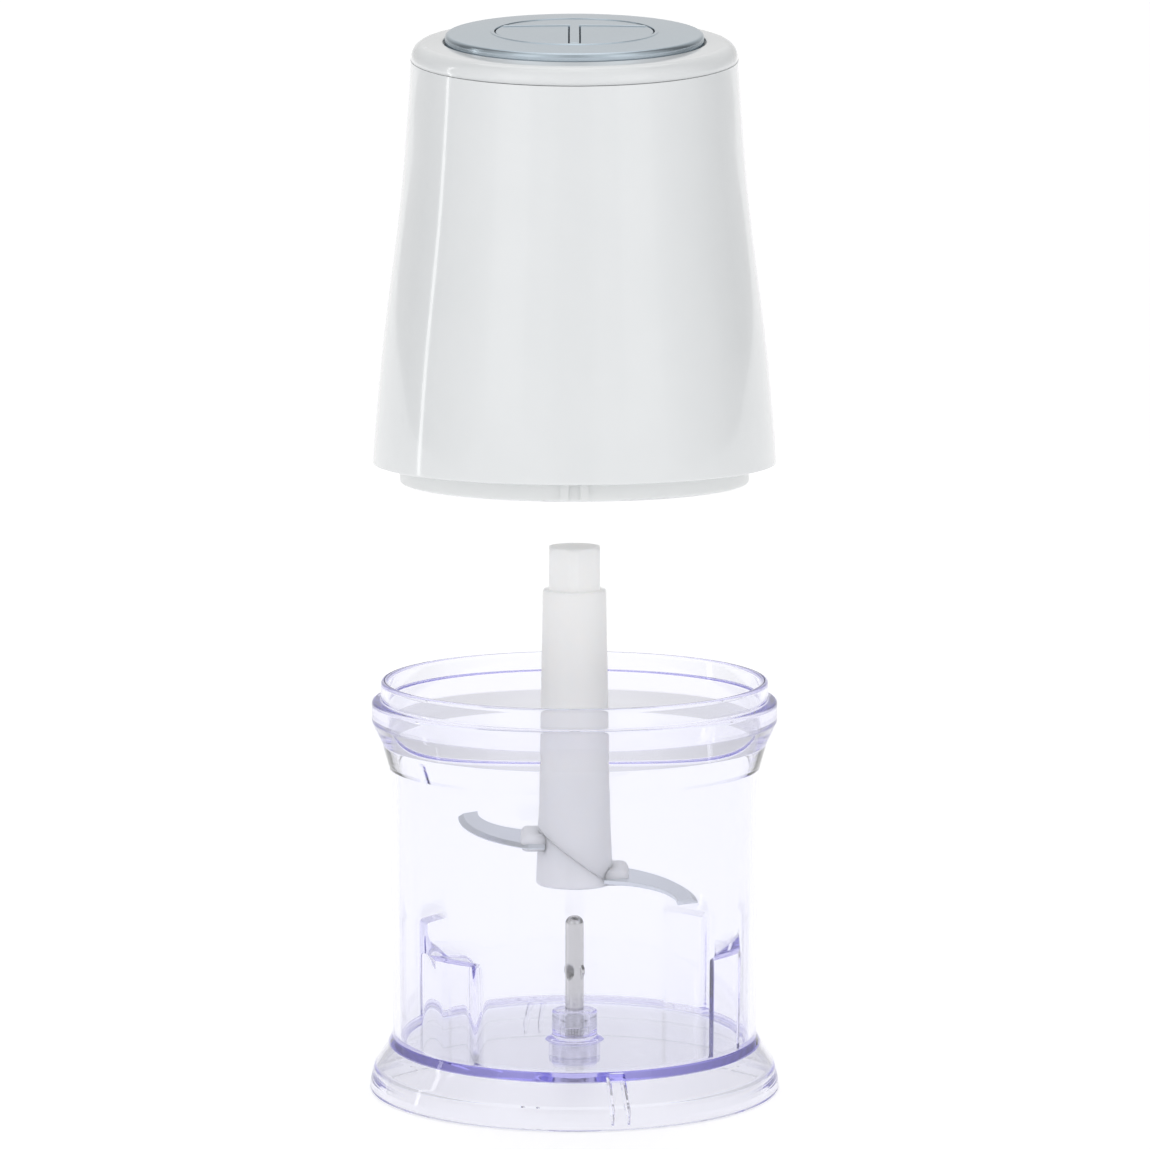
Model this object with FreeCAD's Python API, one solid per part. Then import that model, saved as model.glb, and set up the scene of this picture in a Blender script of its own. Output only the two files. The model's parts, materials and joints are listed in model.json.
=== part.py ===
import FreeCAD
import Part
import math
import os

from FreeCAD import Vector

# A two-speed mini chopper: a clear bowl with a steel pin, a lift-out blade unit that
# runs on the pin, and a motor head that rests on the bowl's rim.  Millimetres, +Z up,
# front towards -Y, origin on the table at the middle of the bowl's foot.
# Rest is the lifted-apart display position: the head hangs above the bowl and the
# blade unit is drawn half out.  The head's lowest position closes the machine.

# ---- driving dimensions -------------------------------------------------------------
HEAD_REST_Z = 178.0        # the head's rim plane above the table, lifted
HEAD_LIFT = 66.8           # how far the head lifts from its seat on the bowl
HUB_REST_Z = 58.3          # underside of the blade hub above the table, lifted

FOOT_R = 58.1              # bowl foot, outside
FLOOR_Z = 14.0             # inside floor of the bowl
FLOOR_UNDER_Z = 11.8
WALL_FOOT_R = 51.5         # bowl wall, outside, at the floor
WALL_TOP_R = 52.3          # bowl wall, outside, under the collar
WALL_T = 2.2
WALL_TOP_Z = 92.2
FLANGE_R = 57.1
FLANGE_Z = 110.9           # shelf that the head's rim closes on
RIM_R = 54.5
RIM_IN_R = 52.4
RIM_Z = 116.5

BOSS_R = 6.4               # boss that holds the steel pin
BOSS_TOP_Z = 22.0
PIN_R = 2.65
PIN_FOOT_Z = 13.5
PIN_TOP_Z = 49.0
PIN_EAR_Z = 33.2
PIN_EAR_TURN = -35.0       # degrees, the ears' direction about Z

HUB_H = 96.0
HUB_FOOT_R = 10.9
HUB_WAIST_R = 10.0
HUB_TOP_R = 8.9
HUB_STEP_H = 83.8          # shoulder under the drive end
DRIVE_R = 7.7
DRIVE_FLAT = 7.15          # half the distance across the drive end's flats
BUSH_R = 4.6
BUSH_BORE_R = 2.72
BUSH_FOOT_H = 8.0
BUSH_TOP_H = 35.5
BLADE_T = 1.2
BLADE_UPPER_H = 12.4       # height of each blade's plane at the axis
BLADE_LOWER_H = 2.4
BLADE_LEAN = 5.0           # degrees, the whole blade pair about X
SEAM_H = 8.5               # seam between hub body and hub foot, at the axis
SEAM_SLOPE = -0.74

HEAD_H = 114.6             # rim plane to the shoulder plane, on the axis
HEAD_WALL = 2.2
RING_R = 48.8              # locating ring under the head
RING_DROP = 5.5
TOP_LEAN = 7.0             # degrees, the top face leans towards the front
SHOULDER_R = 45.3
DISC_R = 35.9
KEY_RING_R = 22.2          # opening in the steel disc for the keys
KEY_GAP = 0.4
KEY_CHORD_Y = 7.8          # front edge of the fixed half-moon
KEY_BAR = 1.35             # half the width of the bar between the keys
KEY_POST_X = 11.5
KEY_POST_Y = -4.5
KEY_POST_R = 4.2
CROWN_TOP = 5.7            # top of the domed disc above the shoulder plane
CROWN_R = 760.0
PLATE_FOOT = 3.5           # underside of the steel key caps

GEAR_MODULE = 0.9
SUN_TEETH = 12
PLANET_TEETH = 12
RING_TEETH = SUN_TEETH + 2 * PLANET_TEETH
PLANETS = 3
PLANET_ORBIT = GEAR_MODULE * (SUN_TEETH + PLANET_TEETH) / 2
PRESSURE_ANGLE = math.radians(20.0)
BACKLASH = 0.12
GEAR_Z = 21.0              # lower face of the planet gears
GEAR_FACE = 7.0

SHAFT_R = 2.5
DRIVE_SHAFT_R = 5.0
COUPLER_R = 10.5
COUPLER_FOOT = -9.3
SOCKET_TOP = 3.4
STATOR_Z = 47.0
STATOR_H = 30.0
STATOR_R = 30.0
STATOR_FLAT = 24.0
ROTOR_R = 15.2
FAN_R = 22.4
THROUGH_BOLT_X = 26.4
BRACKET_Z = 31.3
TOP_BRACKET_Z = 90.0

BOARD_DEPTH = -16.5        # top of the switch board under the shoulder plane
BOARD_T = 1.6
INLET_H = 84.0             # cable inlet above the rim plane
INLET_BORE_R = 3.2
INLET_NECK_R = 5.0

COVER_PLATE_H = 6.2
COVER_PLATE_T = 2.2
COVER_SCREW_ORBIT = 42.0
MOUNT_ORBIT = 33.0
QUARTERS = (45.0, 135.0, 225.0, 315.0)

UP = Vector(0, 0, 1)
ORIGIN = Vector(0, 0, 0)


# ---- shape helpers ------------------------------------------------------------------
def corner_points(before, corner, after, radius):
    """Start, middle and end of the arc that rounds a corner."""
    to_before = (before - corner).normalize()
    to_after = (after - corner).normalize()
    half = to_before.getAngle(to_after) / 2
    reach = radius / math.tan(half)
    bisector = (to_before + to_after).normalize()
    centre = corner + bisector * (radius / math.sin(half))
    middle = centre - bisector * radius
    return corner + to_before * reach, middle, corner + to_after * reach


def outline(corners):
    """Closed wire in the XZ plane from (r, z) or (r, z, corner radius) corners."""
    points = [Vector(corner[0], 0, corner[1]) for corner in corners]
    count = len(points)
    rounds = []
    for index, corner in enumerate(corners):
        here = points[index]
        if len(corner) < 3:
            rounds.append((here, None, here))
            continue
        rounds.append(corner_points(points[index - 1], here, points[(index + 1) % count], corner[2]))
    edges = []
    for index, (start, middle, end) in enumerate(rounds):
        if middle is not None:
            edges.append(Part.Arc(start, middle, end).toShape())
        following = rounds[(index + 1) % count][0]
        if end.distanceToPoint(following) > 1e-6:
            edges.append(Part.LineSegment(end, following).toShape())
    return Part.Wire(edges)


def turned(corners, start=0.0, sweep=360.0):
    """Solid turned about Z from an outline, over part of a circle where asked."""
    face = Part.Face(outline(corners))
    face.rotate(ORIGIN, UP, start)
    return face.revolve(ORIGIN, UP, sweep)


def tube(outer, inner, low, high):
    """Plain round tube, or a rod where inner is 0."""
    rod = Part.makeCylinder(outer, high - low, Vector(0, 0, low))
    if inner <= 0:
        return rod
    return rod.cut(Part.makeCylinder(inner, high - low + 2, Vector(0, 0, low - 1)))


def rod_at(x, y, radius, low, high):
    """Upright cylinder at a place."""
    return Part.makeCylinder(radius, high - low, Vector(x, y, low))


def block(low, high):
    """Box between two corners."""
    size = Vector(*high) - Vector(*low)
    return Part.makeBox(size.x, size.y, size.z, Vector(*low))


def polar(radius, degrees):
    """X and Y of a point at a radius and an angle."""
    angle = math.radians(degrees)
    return radius * math.cos(angle), radius * math.sin(angle)


def joined(shapes):
    """One solid from several that overlap."""
    result = shapes[0]
    for shape in shapes[1:]:
        result = result.fuse(shape)
    return result.removeSplitter()


def less(shape, cutters):
    """A shape with several others taken out of it."""
    for cutter in cutters:
        shape = shape.cut(cutter)
    return shape


def screw(x, y, seat, tip, radius, head_r, head_h, direction=1):
    """Screw whose head sits at seat and whose shank runs to tip, with a driver slot."""
    low, high = min(seat, tip), max(seat, tip)
    head_low = seat - head_h if direction > 0 else seat
    body = rod_at(x, y, radius, low, high).fuse(rod_at(x, y, head_r, head_low, head_low + head_h))
    slot_low = head_low - 0.1 if direction > 0 else head_low + head_h - 0.7
    slot = block((x - head_r - 1, y - 0.4, slot_low), (x + head_r + 1, y + 0.4, slot_low + 0.8))
    return body.cut(slot)


def spring(radius, wire, low, high, turns, x, y):
    """Round-wire compression spring between two heights."""
    travel = high - low - 2 * wire
    helix = Part.makeHelix(travel / turns, travel, radius)
    section = Part.Wire(Part.makeCircle(wire, Vector(radius, 0, 0), Vector(0, 1, 0)))
    coil = Part.Wire(helix).makePipeShell([section], True, True)
    coil.translate(Vector(x, y, low + wire))
    return coil


def in_head(shape):
    """Moves a shape from heights above the head's rim to its place at rest."""
    moved = shape.copy()
    moved.translate(Vector(0, 0, HEAD_REST_Z))
    return moved


def in_top(shape):
    """Moves a shape from heights above the leaning shoulder plane to its place at rest."""
    moved = shape.copy()
    moved.rotate(ORIGIN, Vector(1, 0, 0), TOP_LEAN)
    moved.translate(Vector(0, 0, HEAD_REST_Z + HEAD_H))
    return moved


def in_hub(shape):
    """Moves a shape from heights above the hub's underside to its place at rest."""
    moved = shape.copy()
    moved.translate(Vector(0, 0, HUB_REST_Z))
    return moved


# ---- bowl ---------------------------------------------------------------------------
def make_bowl():
    """Clear bowl: flared foot, wall, collar and rim in one moulding, with its pin boss."""
    bowl = turned([
        (0, 5.3), (7.3, 5.3, 0.6), (7.3, FLOOR_UNDER_Z, 1.0), (50.4, FLOOR_UNDER_Z, 0.5),
        (51.5, 10.2, 1.0), (55.4, 5.0, 3.0), (55.9, 0, 0.5), (FOOT_R, 0, 0.5),
        (57.8, 2.8, 1.0), (56.6, 7.0, 4.0), (53.5, 11.8, 3.0), (WALL_FOOT_R, 15.2, 0.8),
        (WALL_TOP_R, WALL_TOP_Z, 2.0), (54.3, 99.2, 2.0), (FLANGE_R, 105.2, 1.2),
        (FLANGE_R, FLANGE_Z, 1.0), (RIM_R, FLANGE_Z, 0.4), (RIM_R, RIM_Z, 0.9),
        (RIM_IN_R, RIM_Z, 0.9), (RIM_IN_R, 99.2, 1.0), (WALL_TOP_R - WALL_T, WALL_TOP_Z, 1.0),
        (WALL_FOOT_R - WALL_T, FLOOR_Z, 2.0), (BOSS_R, FLOOR_Z, 1.4), (BOSS_R, BOSS_TOP_Z, 0.6),
        (PIN_R, BOSS_TOP_Z), (PIN_R, PIN_FOOT_Z), (0, PIN_FOOT_Z)])
    extras = []
    for start, sweep in ((-40.0, 15.0), (38.0, 19.0)):
        for opposite in (0.0, 180.0):
            pad = turned([(47.7, 13.6), (50.2, 13.6), (50.6, 44.0), (49.3, 44.0), (47.9, 42.4)],
                         start + opposite, sweep)
            extras.append(pad)
    for start in (-144.5, 35.5):
        extras.append(turned([(49.6, 91.6), (51.8, 91.6), (52.6, 97.2), (51.2, 97.2)], start, 3.0))
    for middle in (-77.0, 103.0):
        for side in (-2.3, 2.3):
            gusset = turned([(46.0, 12.2), (51.4, 12.2), (55.9, 5.2), (56.5, 1.2), (55.1, 1.2),
                             (50.0, 8.4)], middle + side - 0.5, 1.0)
            extras.append(gusset)
    bowl = joined([bowl] + extras)
    window = turned([(50.9, 12.4), (54.0, 12.4), (54.0, 14.6), (50.9, 14.6)], -79.3, 4.6)
    return bowl.cut(window)


def make_bowl_pin():
    """Steel pin with a domed end, two side ears and two pressed dimples."""
    pin = turned([(0, PIN_FOOT_Z), (PIN_R, PIN_FOOT_Z), (PIN_R, PIN_TOP_Z, 2.0), (0, PIN_TOP_Z)])
    ear = Part.makeCylinder(3.15, 1.3, Vector(0, -0.65, PIN_EAR_Z), Vector(0, 1, 0))
    ear.rotate(ORIGIN, UP, PIN_EAR_TURN)
    pin = pin.fuse(ear)
    dimple_r = 3.0
    for side in (-1, 1):
        x, y = polar(PIN_R + dimple_r - 0.9, PIN_EAR_TURN + side * 90.0)
        pin = pin.cut(Part.makeSphere(dimple_r, Vector(x, y, PIN_EAR_Z)))
    return pin


# ---- blade unit ---------------------------------------------------------------------
def make_hub_bush():
    """Inner bush that clips over the pin's ears and carries the turning hub."""
    bush = turned([
        (BUSH_BORE_R, BUSH_FOOT_H, 0.3), (6.3, BUSH_FOOT_H, 0.3), (6.3, 9.4, 0.3),
        (BUSH_R, 9.4), (BUSH_R, BUSH_TOP_H, 0.4), (BUSH_BORE_R, BUSH_TOP_H)])
    slot = block((-3.5, -0.95, BUSH_FOOT_H - 1), (3.5, 0.95, 24.5))
    slot.rotate(ORIGIN, UP, PIN_EAR_TURN)
    return bush.cut(slot)


def hex_bar(flat, low, high, turn=0.0):
    """Six-sided bar with the given distance from its axis to each flat."""
    corner = flat / math.cos(math.pi / 6)
    points = []
    for index in range(7):
        x, y = polar(corner, 60.0 * index + turn)
        points.append(Vector(x, y, low))
    return Part.Face(Part.makePolygon(points)).extrude(Vector(0, 0, high - low))


def make_hub_blank():
    """The hub as one piece: tapered body, round foot and flattened drive end."""
    body = turned([
        (0, 0), (HUB_FOOT_R, 0, 0.8), (HUB_WAIST_R, 23.0, 30.0), (HUB_TOP_R, HUB_STEP_H, 0.6),
        (5.0, HUB_STEP_H), (0, HUB_STEP_H)])
    drive = turned([(0, HUB_STEP_H - 1), (DRIVE_R, HUB_STEP_H - 1), (DRIVE_R, HUB_H, 1.2), (0, HUB_H)])
    drive = drive.common(hex_bar(DRIVE_FLAT, HUB_STEP_H - 2, HUB_H + 1, 30.0))
    hub = body.fuse(drive)
    bores = [
        rod_at(0, 0, 7.2, -1, 7.5),
        rod_at(0, 0, BUSH_R + 0.05, 7.0, 36.5),
        rod_at(0, 0, 6.6, 7.0, 9.7),
        rod_at(0, 0, 3.6, 36.0, 80.0)]
    return less(hub, bores).removeSplitter()


def below_seam():
    """Everything under the slanted seam between the hub's body and its foot."""
    reach = 40.0
    corners = [
        Vector(-reach, -reach, SEAM_H - SEAM_SLOPE * reach),
        Vector(reach, -reach, SEAM_H + SEAM_SLOPE * reach),
        Vector(reach, -reach, -reach - 20),
        Vector(-reach, -reach, -reach - 20)]
    face = Part.Face(Part.makePolygon(corners + [corners[0]]))
    return face.extrude(Vector(0, 2 * reach, 0))


def blade_outline(inset, level):
    """Sickle outline of a blade: convex cutting edge, blunt tip and hollow back."""
    root_back = Vector(8.3, 7.6 - inset, level)
    bend_back = Vector(13.0, 7.9 - inset, level)
    belly = Vector(26.8 - inset * 0.86, -4.6 - inset * 0.5, level)
    tip = Vector(33.8 - inset, -26.5, level)
    heel = Vector(28.2, -29.0, level)
    hollow = Vector(25.2, -18.2, level)
    bend_front = Vector(14.0, -9.2, level)
    root_front = Vector(8.3, -7.6, level)
    return Part.Wire([
        Part.LineSegment(root_back, bend_back).toShape(),
        Part.Arc(bend_back, belly, tip).toShape(),
        Part.LineSegment(tip, heel).toShape(),
        Part.Arc(heel, hollow, bend_front).toShape(),
        Part.LineSegment(bend_front, root_front).toShape(),
        Part.LineSegment(root_front, root_back).toShape()])


def make_blade(height, turn):
    """Flat sickle blade with a ground cutting edge."""
    bevel = 1.5
    lower = blade_outline(0.0, 0.0)
    edge = blade_outline(0.0, 0.25)
    upper = blade_outline(bevel, BLADE_T)
    plate = Part.makeLoft([lower, edge], True, True)
    ground = Part.makeLoft([edge, upper], True, True)
    blade = plate.fuse(ground).removeSplitter()
    blade.rotate(ORIGIN, UP, turn)
    blade.rotate(ORIGIN, Vector(1, 0, 0), BLADE_LEAN)
    blade.translate(Vector(0, 0, height - BLADE_T / 2))
    return blade


def make_shoulder(height, side):
    """Rounded plastic shoulder moulded over a blade's root."""
    low_x, high_x = 9.0, 15.3
    if side < 0:
        low_x, high_x = -high_x, -low_x
    shoulder = block((low_x, -6.4, -1.9), (high_x, 7.0, 2.8))
    rounded = [edge for edge in shoulder.Edges
               if abs(edge.BoundBox.Center.x - side * 15.3) < 0.01 or abs(edge.BoundBox.XLength - 6.3) < 0.01]
    shoulder = shoulder.makeFillet(1.5, rounded)
    shoulder.rotate(ORIGIN, Vector(1, 0, 0), BLADE_LEAN)
    shoulder.translate(Vector(0, 0, height))
    return shoulder


def make_blade_unit():
    """Hub body, hub foot and the two staggered blades."""
    hub = make_hub_blank()
    upper = make_blade(BLADE_UPPER_H, 180.0)
    lower = make_blade(BLADE_LOWER_H, 0.0)
    left = make_shoulder(BLADE_UPPER_H, -1)
    right = make_shoulder(BLADE_LOWER_H, 1)
    right = right.common(block((0, -30, 0.4), (30, 30, 30)))
    under = below_seam()
    foot = hub.common(under).cut(right)
    body = hub.cut(under).cut(left)
    core = rod_at(0, 0, 7.3, -1, 8.0)
    foot = less(foot.fuse(left), [core, upper, lower])
    body = less(body.fuse(right), [core, upper, lower])
    return body.removeSplitter(), foot.removeSplitter(), upper, lower


# ---- head: shells -------------------------------------------------------------------
def housing_blank(thin):
    """The head's outer form turned solid, drawn in by a wall thickness."""
    waist = [
        (56.5, 0), (56.2, 4.5), (55.0, 18.5), (53.6, 32.5), (51.4, 50.1),
        (49.7, 63.0), (48.0, 77.8), (46.6, 94.6), (45.4, 113.0), (45.1, 124.0)]
    points = [Vector(radius - thin, 0, height) for radius, height in waist]
    curve = Part.BSplineCurve()
    curve.interpolate(points)
    foot = Vector(0, 0, 0)
    top = Vector(0, 0, waist[-1][1])
    wire = Part.Wire([
        Part.LineSegment(foot, points[0]).toShape(), curve.toShape(),
        Part.LineSegment(points[-1], top).toShape(), Part.LineSegment(top, foot).toShape()])
    return Part.Face(wire).revolve(ORIGIN, UP, 360)


def above_shoulder(height):
    """Everything above a plane parallel to the leaning top."""
    slab = block((-80, -80, height), (80, 80, height + 60))
    slab.rotate(ORIGIN, Vector(1, 0, 0), TOP_LEAN)
    slab.translate(Vector(0, 0, HEAD_H))
    return slab


def make_housing():
    """White outer shell of the head, with screw bosses and the cable inlet hole."""
    outer = housing_blank(0.0)
    rim_t = 1.6
    core = housing_blank(HEAD_WALL)
    rim_core = turned([(0, -1), (56.5 - rim_t, -1), (56.05 - rim_t, 9.0), (0, 9.0)])
    shell = outer.cut(core).cut(rim_core)
    additions = []
    for angle in (0.0, 90.0, 180.0, 270.0):
        boss = rod_at(COVER_SCREW_ORBIT, 0, 3.8, COVER_PLATE_H + COVER_PLATE_T + 0.1, 30.0)
        rib = block((COVER_SCREW_ORBIT, -1.2, 9.1), (58.0, 1.2, 30.0))
        post = boss.fuse(rib).cut(rod_at(COVER_SCREW_ORBIT, 0, 1.6, 5.0, 22.0))
        post.rotate(ORIGIN, UP, angle + 45.0)
        additions.append(post.common(outer))
    shell = joined([shell] + additions)
    inlet = Part.makeCylinder(INLET_NECK_R, 20, Vector(0, 38, INLET_H), Vector(0, 1, 0))
    return less(shell, [inlet, above_shoulder(-2.6)])


def make_bottom_cover():
    """Cover under the motor, with the ring that centres the head in the bowl."""
    top = COVER_PLATE_H + COVER_PLATE_T
    cover = turned([
        (12.4, COVER_PLATE_H), (RING_R - 2.2, COVER_PLATE_H, 0.5), (RING_R - 2.2, -RING_DROP, 0.7),
        (RING_R, -RING_DROP, 0.7), (RING_R, COVER_PLATE_H, 0.4), (53.9, COVER_PLATE_H), (53.9, top),
        (12.4, top)])
    guides = []
    for side in (-1, 1):
        middle = -90.0 + side * 3.1
        guides.append(turned([(RING_R - 1, -RING_DROP + 0.4), (50.0, -RING_DROP + 0.4, 0.5),
                              (50.0, COVER_PLATE_H + 0.5), (RING_R - 1, COVER_PLATE_H + 0.5)],
                             middle - 1.3, 2.6))
    sockets = []
    for angle in QUARTERS:
        x, y = polar(MOUNT_ORBIT, angle)
        guides.append(rod_at(x, y, 3.4, top - 0.5, top + 0.4))
        sockets.append(rod_at(x, y, 1.8, 0, 20))
        x, y = polar(COVER_SCREW_ORBIT, angle)
        sockets.append(rod_at(x, y, 1.7, 0, 20))
    return less(joined([cover] + guides), sockets)


def make_cover_screws():
    """Four screws from the bottom cover up into the housing's bosses."""
    screws = []
    for angle in QUARTERS:
        x, y = polar(COVER_SCREW_ORBIT, angle)
        screws.append(screw(x, y, COVER_PLATE_H, 20.0, 1.6, 3.0, 1.8))
    return Part.makeCompound(screws)


def crown():
    """Large ball whose top is the domed surface of the disc and keys."""
    return Part.makeSphere(CROWN_R, Vector(0, 0, CROWN_TOP - CROWN_R))


def make_top_cover():
    """White shoulder cover with the disc seat, the key well and the board's legs."""
    cover = turned([
        (0, -4.6), (26.5, -4.6, 0.5), (26.5, -1.4, 0.5), (40.8, -1.4, 0.5), (40.8, -7.0),
        (42.4, -7.0), (42.4, -2.3), (SHOULDER_R, -2.3), (SHOULDER_R, 2.1, 4.0), (36.5, 2.8, 0.4),
        (36.3, 0.7), (23.3, 0.7, 0.4), (23.3, -2.8), (0, -2.8)])
    legs = []
    holes = []
    for x in (-28.0, 28.0):
        for y in (-10.0, 10.0):
            legs.append(rod_at(x, y, 3.1, BOARD_DEPTH, -1.0))
            holes.append(rod_at(x, y, 1.1, BOARD_DEPTH - 1, -6.0))
    for side in (-1, 1):
        legs.append(rod_at(side * KEY_POST_X, KEY_POST_Y, KEY_POST_R + 1.9, -6.8, -3.0))
        holes.append(rod_at(side * KEY_POST_X, KEY_POST_Y, KEY_POST_R + 0.35, -8.0, 0.0))
    return less(joined([cover] + legs), holes)


def make_top_disc():
    """Pressed steel disc with a rolled edge and a round opening for the keys."""
    disc = turned([
        (DISC_R, 0.9), (DISC_R, 5.5, 1.3), (30.0, 8.6), (KEY_RING_R, 8.6), (KEY_RING_R, 4.3),
        (34.5, 3.9, 0.9), (35.0, 0.9)])
    return disc.common(crown())


def key_plan(radius, low, high, inset=0.0):
    """Half of the front part of the key circle, on the +X side, as an upright solid."""
    gap = KEY_GAP + inset
    whole = rod_at(0, 0, radius - gap, low, high)
    return whole.common(block((KEY_BAR + gap, -30, low - 1), (30, KEY_CHORD_Y - gap, high + 1)))


def make_key_parts():
    """Steel cap and plastic post of the +X key."""
    plate_low = PLATE_FOOT
    cap = key_plan(KEY_RING_R, plate_low, 9.0).common(crown())
    base = key_plan(KEY_RING_R, -0.6, plate_low, 0.6)
    pocket = tube(6.7, KEY_POST_R, -1.0, 2.6)
    pocket.translate(Vector(KEY_POST_X, KEY_POST_Y, 0))
    post = rod_at(KEY_POST_X, KEY_POST_Y, KEY_POST_R, -8.5, 3.1)
    base = joined([base.cut(pocket), post])
    plunger = rod_at(KEY_POST_X, KEY_POST_Y, 1.5, -12.6, -8.5)
    return cap, base, plunger


def mirrored(shape):
    """The same shape on the other side of the middle plane."""
    return shape.mirror(ORIGIN, Vector(1, 0, 0))


def key_frame_plan(radius, low, high):
    """Plan of the fixed half-moon with the bar between the keys."""
    whole = rod_at(0, 0, radius, low, high)
    moon = whole.common(block((-30, KEY_CHORD_Y, low), (30, 30, high)))
    bar = whole.common(block((-KEY_BAR, -30, low), (KEY_BAR, KEY_CHORD_Y + 1, high)))
    return moon, bar


def make_key_frame():
    """Steel half-moon and raised bar that never move."""
    moon, bar = key_frame_plan(KEY_RING_R - 0.1, PLATE_FOOT, 9.0)
    raised = Part.makeSphere(CROWN_R, Vector(0, 0, CROWN_TOP + 0.3 - CROWN_R))
    return joined([moon.common(crown()), bar.common(raised)])


def make_key_frame_base():
    """Plastic stand under the half-moon and bar, on the floor of the well."""
    moon, bar = key_frame_plan(KEY_RING_R - 0.5, -2.8, PLATE_FOOT)
    return joined([moon, bar])


def make_key_spring():
    """Return spring of the +X key, round its post."""
    return spring(5.5, 0.35, -2.75, 2.55, 4, KEY_POST_X, KEY_POST_Y)


# ---- head: electrics ----------------------------------------------------------------
def make_switch_board():
    """Circuit board under the keys."""
    board = block((-34, -19, BOARD_DEPTH - BOARD_T), (34, 19, BOARD_DEPTH))
    corners = [edge for edge in board.Edges if edge.BoundBox.ZLength > 1]
    board = board.makeFillet(5.0, corners)
    holes = [rod_at(x, y, 1.2, -30, 0) for x in (-28.0, 28.0) for y in (-10.0, 10.0)]
    return less(board, holes)


def make_board_screws():
    """Four screws from the board up into the legs of the top cover."""
    low = BOARD_DEPTH - BOARD_T
    screws = [screw(x, y, low, low + 7.5, 1.1, 2.2, 1.4) for x in (-28.0, 28.0) for y in (-10.0, 10.0)]
    return Part.makeCompound(screws)


def make_switch():
    """Push switch of the +X key."""
    body = block((KEY_POST_X - 9, KEY_POST_Y - 3.2, BOARD_DEPTH), (KEY_POST_X + 9, KEY_POST_Y + 3.2, -10.6))
    return body.cut(rod_at(KEY_POST_X, KEY_POST_Y, 1.6, -14.6, -9))


def make_capacitor():
    """Suppression capacitor standing on the board."""
    body = block((-24, 5.5, BOARD_DEPTH), (-7, 13.5, -7.6))
    return body.makeFillet(0.8, [edge for edge in body.Edges if edge.BoundBox.Center.z > -10])


def make_terminal_block():
    """Two-way terminal block on the underside of the board, at the rear."""
    low = BOARD_DEPTH - BOARD_T - 8.0
    body = block((-8, 8.5, low), (8, 17.5, BOARD_DEPTH - BOARD_T))
    ways = [Part.makeCylinder(1.6, 6, Vector(x, 12.5, low + 3), Vector(0, 1, 0)) for x in (-4, 4)]
    return less(body, ways)


def make_cable_grommet():
    """Rubber inlet grommet gripping the rear wall of the housing; the bore runs along Y."""
    grommet = turned([
        (INLET_BORE_R, 41.6), (6.6, 41.6, 0.6), (6.6, 44.0), (INLET_NECK_R, 44.0), (INLET_NECK_R, 48.3),
        (7.0, 48.3), (7.0, 49.8, 0.7), (5.2, 50.4), (4.8, 52.4, 0.4), (INLET_BORE_R, 52.4)])
    grommet.rotate(ORIGIN, Vector(1, 0, 0), -90.0)
    grommet.translate(Vector(0, 0, INLET_H))
    return grommet


# ---- head: motor --------------------------------------------------------------------
def make_stator():
    """Laminated stack with two poles round the armature's bore."""
    low, high = STATOR_Z, STATOR_Z + STATOR_H
    stack = rod_at(0, 0, STATOR_R, low, high)
    stack = stack.common(block((-31, -STATOR_FLAT, low), (31, STATOR_FLAT, high)))
    cuts = [rod_at(0, 0, ROTOR_R + 0.4, low - 1, high + 1)]
    for side in (-1, 1):
        cuts.append(rod_at(side * THROUGH_BOLT_X, 0, 1.9, low - 1, high + 1))
        for end in (-1, 1):
            cuts.append(rod_at(side * 15.5, end * 14.5, 5.0, low - 1, high + 1))
    return less(stack, cuts)


def make_field_coils():
    """Four coil legs through the stack's windows, tied by end turns at both faces."""
    low, high = STATOR_Z, STATOR_Z + STATOR_H
    coils = []
    for end in (-1, 1):
        legs = [rod_at(side * 15.5, end * 14.5, 4.7, low - 0.2, high + 0.2) for side in (-1, 1)]
        turns = []
        for face_low in (low - 2.9, high + 0.1):
            bar = block((-19.0, end * 17.0 - 2.2, face_low), (19.0, end * 17.0 + 2.2, face_low + 2.8))
            ends = [rod_at(side * 15.5, end * 14.5, 4.7, face_low, face_low + 2.8) for side in (-1, 1)]
            turns += [bar] + ends
        coils.append(joined(legs + turns))
    return Part.makeCompound(coils)


def make_lower_bracket():
    """Plate over the gear case that holds the lower bearing and the stack's feet."""
    plate = tube(STATOR_R, 0, BRACKET_Z, BRACKET_Z + 2.5)
    seat = tube(10.2, 0, BRACKET_Z - 1.0, BRACKET_Z + 4.6)
    feet = []
    holes = [rod_at(0, 0, 8.0, BRACKET_Z - 0.2, BRACKET_Z + 6), rod_at(0, 0, 4.0, 20, 60)]
    for side in (-1, 1):
        feet.append(rod_at(side * THROUGH_BOLT_X, 0, 3.2, BRACKET_Z + 2, STATOR_Z))
        holes.append(rod_at(side * THROUGH_BOLT_X, 0, 1.9, 20, 60))
    for angle in (60.0, 120.0, 240.0, 300.0):
        x, y = polar(18.5, angle)
        holes.append(rod_at(x, y, 4.5, 20, 60))
    return less(joined([plate, seat] + feet), holes)


def make_upper_bracket():
    """Bridge over the armature that holds the upper bearing."""
    bar = block((-STATOR_R, -7, TOP_BRACKET_Z), (STATOR_R, 7, TOP_BRACKET_Z + 2.2))
    seat = tube(8.4, 0, TOP_BRACKET_Z - 0.5, TOP_BRACKET_Z + 5.0)
    feet = []
    holes = [rod_at(0, 0, 6.5, TOP_BRACKET_Z - 1, TOP_BRACKET_Z + 4.2), rod_at(0, 0, 3.0, 80, 100)]
    for side in (-1, 1):
        feet.append(rod_at(side * THROUGH_BOLT_X, 0, 3.2, STATOR_Z + STATOR_H, TOP_BRACKET_Z + 1))
        holes.append(rod_at(side * THROUGH_BOLT_X, 0, 1.9, 60, 100))
    return less(joined([bar, seat] + feet), holes)


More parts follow.
